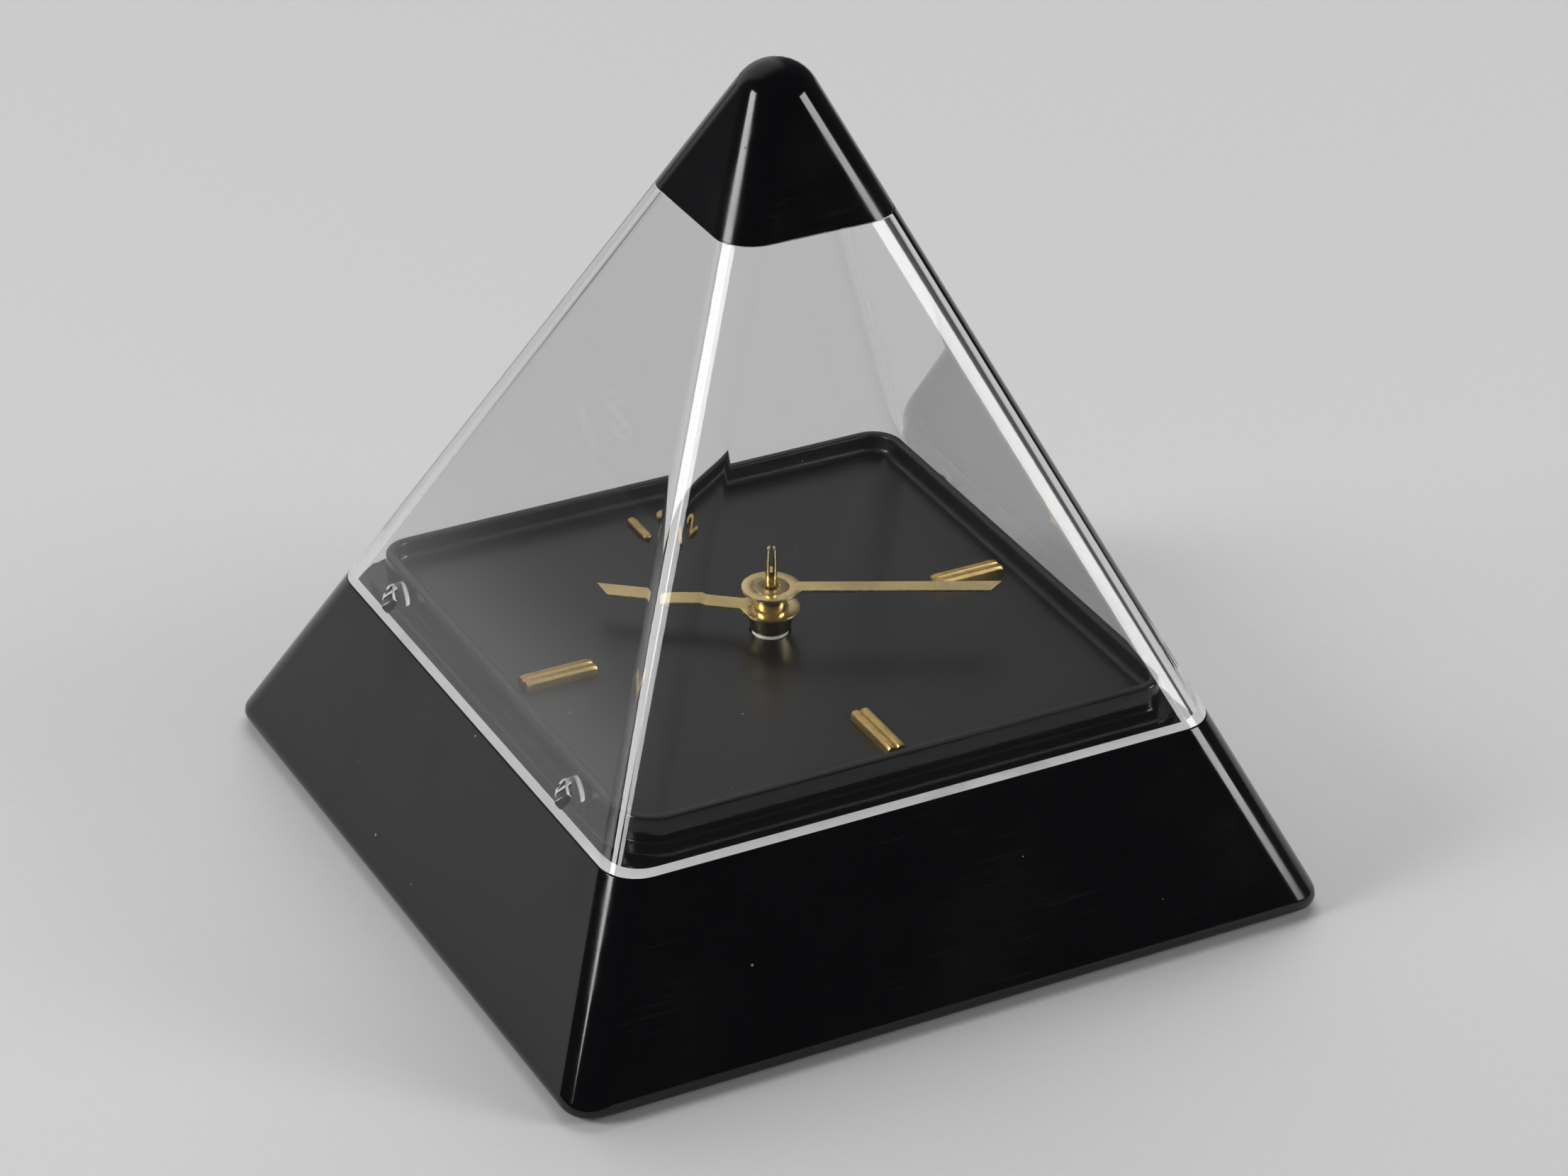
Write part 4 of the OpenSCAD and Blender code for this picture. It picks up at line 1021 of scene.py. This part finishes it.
# ---------------------------------------------------------------- underside and inside
def battery_cell():
    """Round cell with rolled shoulders, a crimp groove and its nub."""
    low, high = box_mm("battery")
    radius = (high.z - low.z) / 2
    length = high.x - low.x
    body_l = length - NUB_H
    profile = [(0, 0), (radius - 2.2, 0), (radius - 1.6, 0.25), (radius - 0.8, 0.25), (radius - 0.25, 0.1),
               (radius, 0.6), (radius, 1.6), (radius - 0.12, 1.9), (radius - 0.12, 2.1), (radius, 2.4),
               (radius, body_l - 0.8), (radius - 0.5, body_l - 0.1), (radius - 1.2, body_l),
               (radius - 1.6, body_l - 0.3), (NUB_R + 0.3, body_l - 0.3), (NUB_R, body_l),
               (NUB_R, length - 0.25), (NUB_R - 0.3, length), (0, length)]
    bm = turned(profile, closed=False)
    place = Matrix.Translation((low.x, (low.y + high.y) / 2, (low.z + high.z) / 2))
    bmesh.ops.transform(bm, matrix=place @ Matrix.Rotation(math.pi / 2, 4, "Y"), verts=bm.verts)
    piece("battery_cell", bm, "battery")


def rubber_feet():
    """Round feet with a shallow ring moulded into each sole."""
    high = box_mm("feet")[1]
    at = high.x - FOOT_R
    bm = bmesh.new()
    profile = [(0, 0.25), (1.6, 0.25), (1.9, 0), (FOOT_R - 0.5, 0), (FOOT_R, 0.45), (FOOT_R, high.z),
               (0, high.z)]
    for x, y in CORNERS:
        foot = turned(profile, 48, closed=False)
        bmesh.ops.translate(foot, vec=(x * at, y * at, 0), verts=foot.verts)
        added(bm, foot)
    piece("rubber_feet", bm, "feet")


# Solids whose own shape is kept, with only their edges rounded: node, width in millimetres
SOFTENED = {
    "figure_one": 0.3, "figure_two": 0.2, "bottom_cover": 0.25, "battery_door": 0.2,
    "setting_knob": 0.25, "movement_case": 0.25, "movement_back": 0.2, "base_screws": 0.12,
    "movement_screws": 0.1, "positive_contact": 0.08, "negative_contact": 0.08,
    "circuit_board": 0.08, "clock_chip": 0.25, "quartz_crystal": 0.15, "coil_core": 0.08,
}


def softened_pieces():
    """Pieces made from the solids by rounding their edges."""
    for node, width in SOFTENED.items():
        piece(node + "_finished", softened(node, width), node)


# ---------------------------------------------------------------- stage
CAMERA_AZIMUTH = -0.4921
CAMERA_ELEVATION = 0.5292
CAMERA_ROLL = 0.0172
CAMERA_DISTANCE = 653.5
CAMERA_LENS = 111.72
CAMERA_TARGET = Vector((0, 0, 40.5))
CAMERA_SHIFT = Vector((2.07, -4.41))
SENSOR_WIDTH = 36.0
# Soft lamps: direction from the clock, then distance, width and height in metres, and power in watts
WINDOW = ((0.40, 0.62, 0.90), 1.3, 1.1, 0.7, 7.0)
LEFT_STRIP = ((-0.88, 0.10, 0.45), 0.9, 0.32, 0.30, 3.8)
RIGHT_STRIP = ((0.75, -0.60, 0.31), 0.9, 0.30, 0.34, 3.0)
LAMP_AIM = Vector((0, 0, 0.05))
FLOOR_HALF = 4.0          # metres
PALE_WALL = (-0.05, 0.9, 0.43)
PALE_WALL_REACH = (0.55, 0.95)  # how well a direction agrees with it, where it starts and is full
SIDE_REACH = (0.37, 0.56)  # how far to either side it stays, and where it has gone
SIDE_SHARE = 0.12         # what is left of it there
ROOM_COLOUR = (0.06, 0.06, 0.064, 1)
WALL_COLOUR = (0.62, 0.62, 0.62, 1)


def camera():
    """Long lens from above the left front corner."""
    back = Vector((math.sin(CAMERA_AZIMUTH) * math.cos(CAMERA_ELEVATION),
                   -math.cos(CAMERA_AZIMUTH) * math.cos(CAMERA_ELEVATION), math.sin(CAMERA_ELEVATION)))
    right = UP.cross(back).normalized()
    up = back.cross(right)
    side = math.cos(CAMERA_ROLL) * right + math.sin(CAMERA_ROLL) * up
    top = math.cos(CAMERA_ROLL) * up - math.sin(CAMERA_ROLL) * right
    place = CAMERA_TARGET + back * CAMERA_DISTANCE + right * CAMERA_SHIFT.x + up * CAMERA_SHIFT.y
    lens = bpy.data.cameras.new("camera")
    lens.lens = CAMERA_LENS
    lens.sensor_width = SENSOR_WIDTH
    lens.clip_start = 0.01
    made = bpy.data.objects.new("camera", lens)
    made.matrix_world = Matrix.Translation(place * MM) @ Matrix((side, top, back)).transposed().to_4x4()
    bpy.context.scene.collection.objects.link(made)
    bpy.context.scene.camera = made


def softbox(name, direction, distance, width, height, power):
    """Soft rectangular lamp that looks at the clock."""
    lamp = bpy.data.lights.new(name, "AREA")
    lamp.shape = "RECTANGLE"
    lamp.size = width
    lamp.size_y = height
    lamp.energy = power
    made = bpy.data.objects.new(name, lamp)
    out = Vector(direction).normalized()
    made.location = out * distance + LAMP_AIM
    made.rotation_euler = out.to_track_quat("Z", "Y").to_euler()
    bpy.context.scene.collection.objects.link(made)
    return made


def studio():
    """A soft window behind and two strip lamps."""
    window = softbox("window", *WINDOW)
    window.visible_glossy = False
    window.visible_transmission = False
    softbox("left_strip", *LEFT_STRIP)
    softbox("right_strip", *RIGHT_STRIP)


def pale_floor():
    """Pale paper under the clock."""
    floor = bmesh.new()
    bmesh.ops.create_grid(floor, x_segments=1, y_segments=1, size=FLOOR_HALF)
    mesh = bpy.data.meshes.new("floor")
    floor.to_mesh(mesh)
    floor.free()
    made = bpy.data.objects.new("floor", mesh)
    paper = Finish("floor_paper", (0.8, 0.8, 0.8), 0.85)
    grain = paper.effect("grain", Scale=700.0)
    paper.layer(ramped(paper.tree, grain["Height"], 0.3, 0.7), (0.79, 0.79, 0.79))
    mesh.materials.append(paper.material)
    bpy.context.scene.collection.objects.link(made)


def dim_room():
    """Dim room with one pale wall behind the clock."""
    room = bpy.data.worlds.new("room")
    room.use_nodes = True
    tree = room.node_tree
    direction = tree.nodes.new("ShaderNodeTexCoord").outputs["Generated"]
    split = tree.nodes.new("ShaderNodeSeparateXYZ")
    tree.links.new(direction, split.inputs[0])
    facing = tree.nodes.new("ShaderNodeVectorMath")
    facing.operation = "DOT_PRODUCT"
    tree.links.new(direction, facing.inputs[0])
    facing.inputs[1].default_value = Vector(PALE_WALL).normalized()
    wall = ramped(tree, facing.outputs["Value"], *PALE_WALL_REACH)
    aside = maths(tree, "ABSOLUTE", split.outputs[0])
    wall = maths(tree, "MULTIPLY", wall, ramped(tree, aside, *SIDE_REACH, 1.0, SIDE_SHARE))
    mix = tree.nodes.new("ShaderNodeMix")
    mix.data_type = "RGBA"
    tree.links.new(wall, mix.inputs[0])
    mix.inputs[6].default_value = ROOM_COLOUR
    mix.inputs[7].default_value = WALL_COLOUR
    tree.links.new(mix.outputs[2], tree.nodes["Background"].inputs[0])
    bpy.context.scene.world = room
    bpy.context.scene.view_settings.view_transform = "Standard"


base_shell()
clear_cover()
apex_cap()
dial_tray()
for baton_node, baton_turn in (("baton_3", 0), ("baton_6", -math.pi / 2), ("baton_9", math.pi)):
    baton(baton_node, baton_turn)
hand("hour_pointer", "hour_hand", HOUR_W, HOUR_TUBE_R)
hand("minute_pointer", "minute_hand", MINUTE_W, BUSH_R)
hour_hand_cup()
minute_hand_collar()
seconds_stem()
battery_cell()
rubber_feet()
softened_pieces()
camera()
studio()
pale_floor()
dim_room()
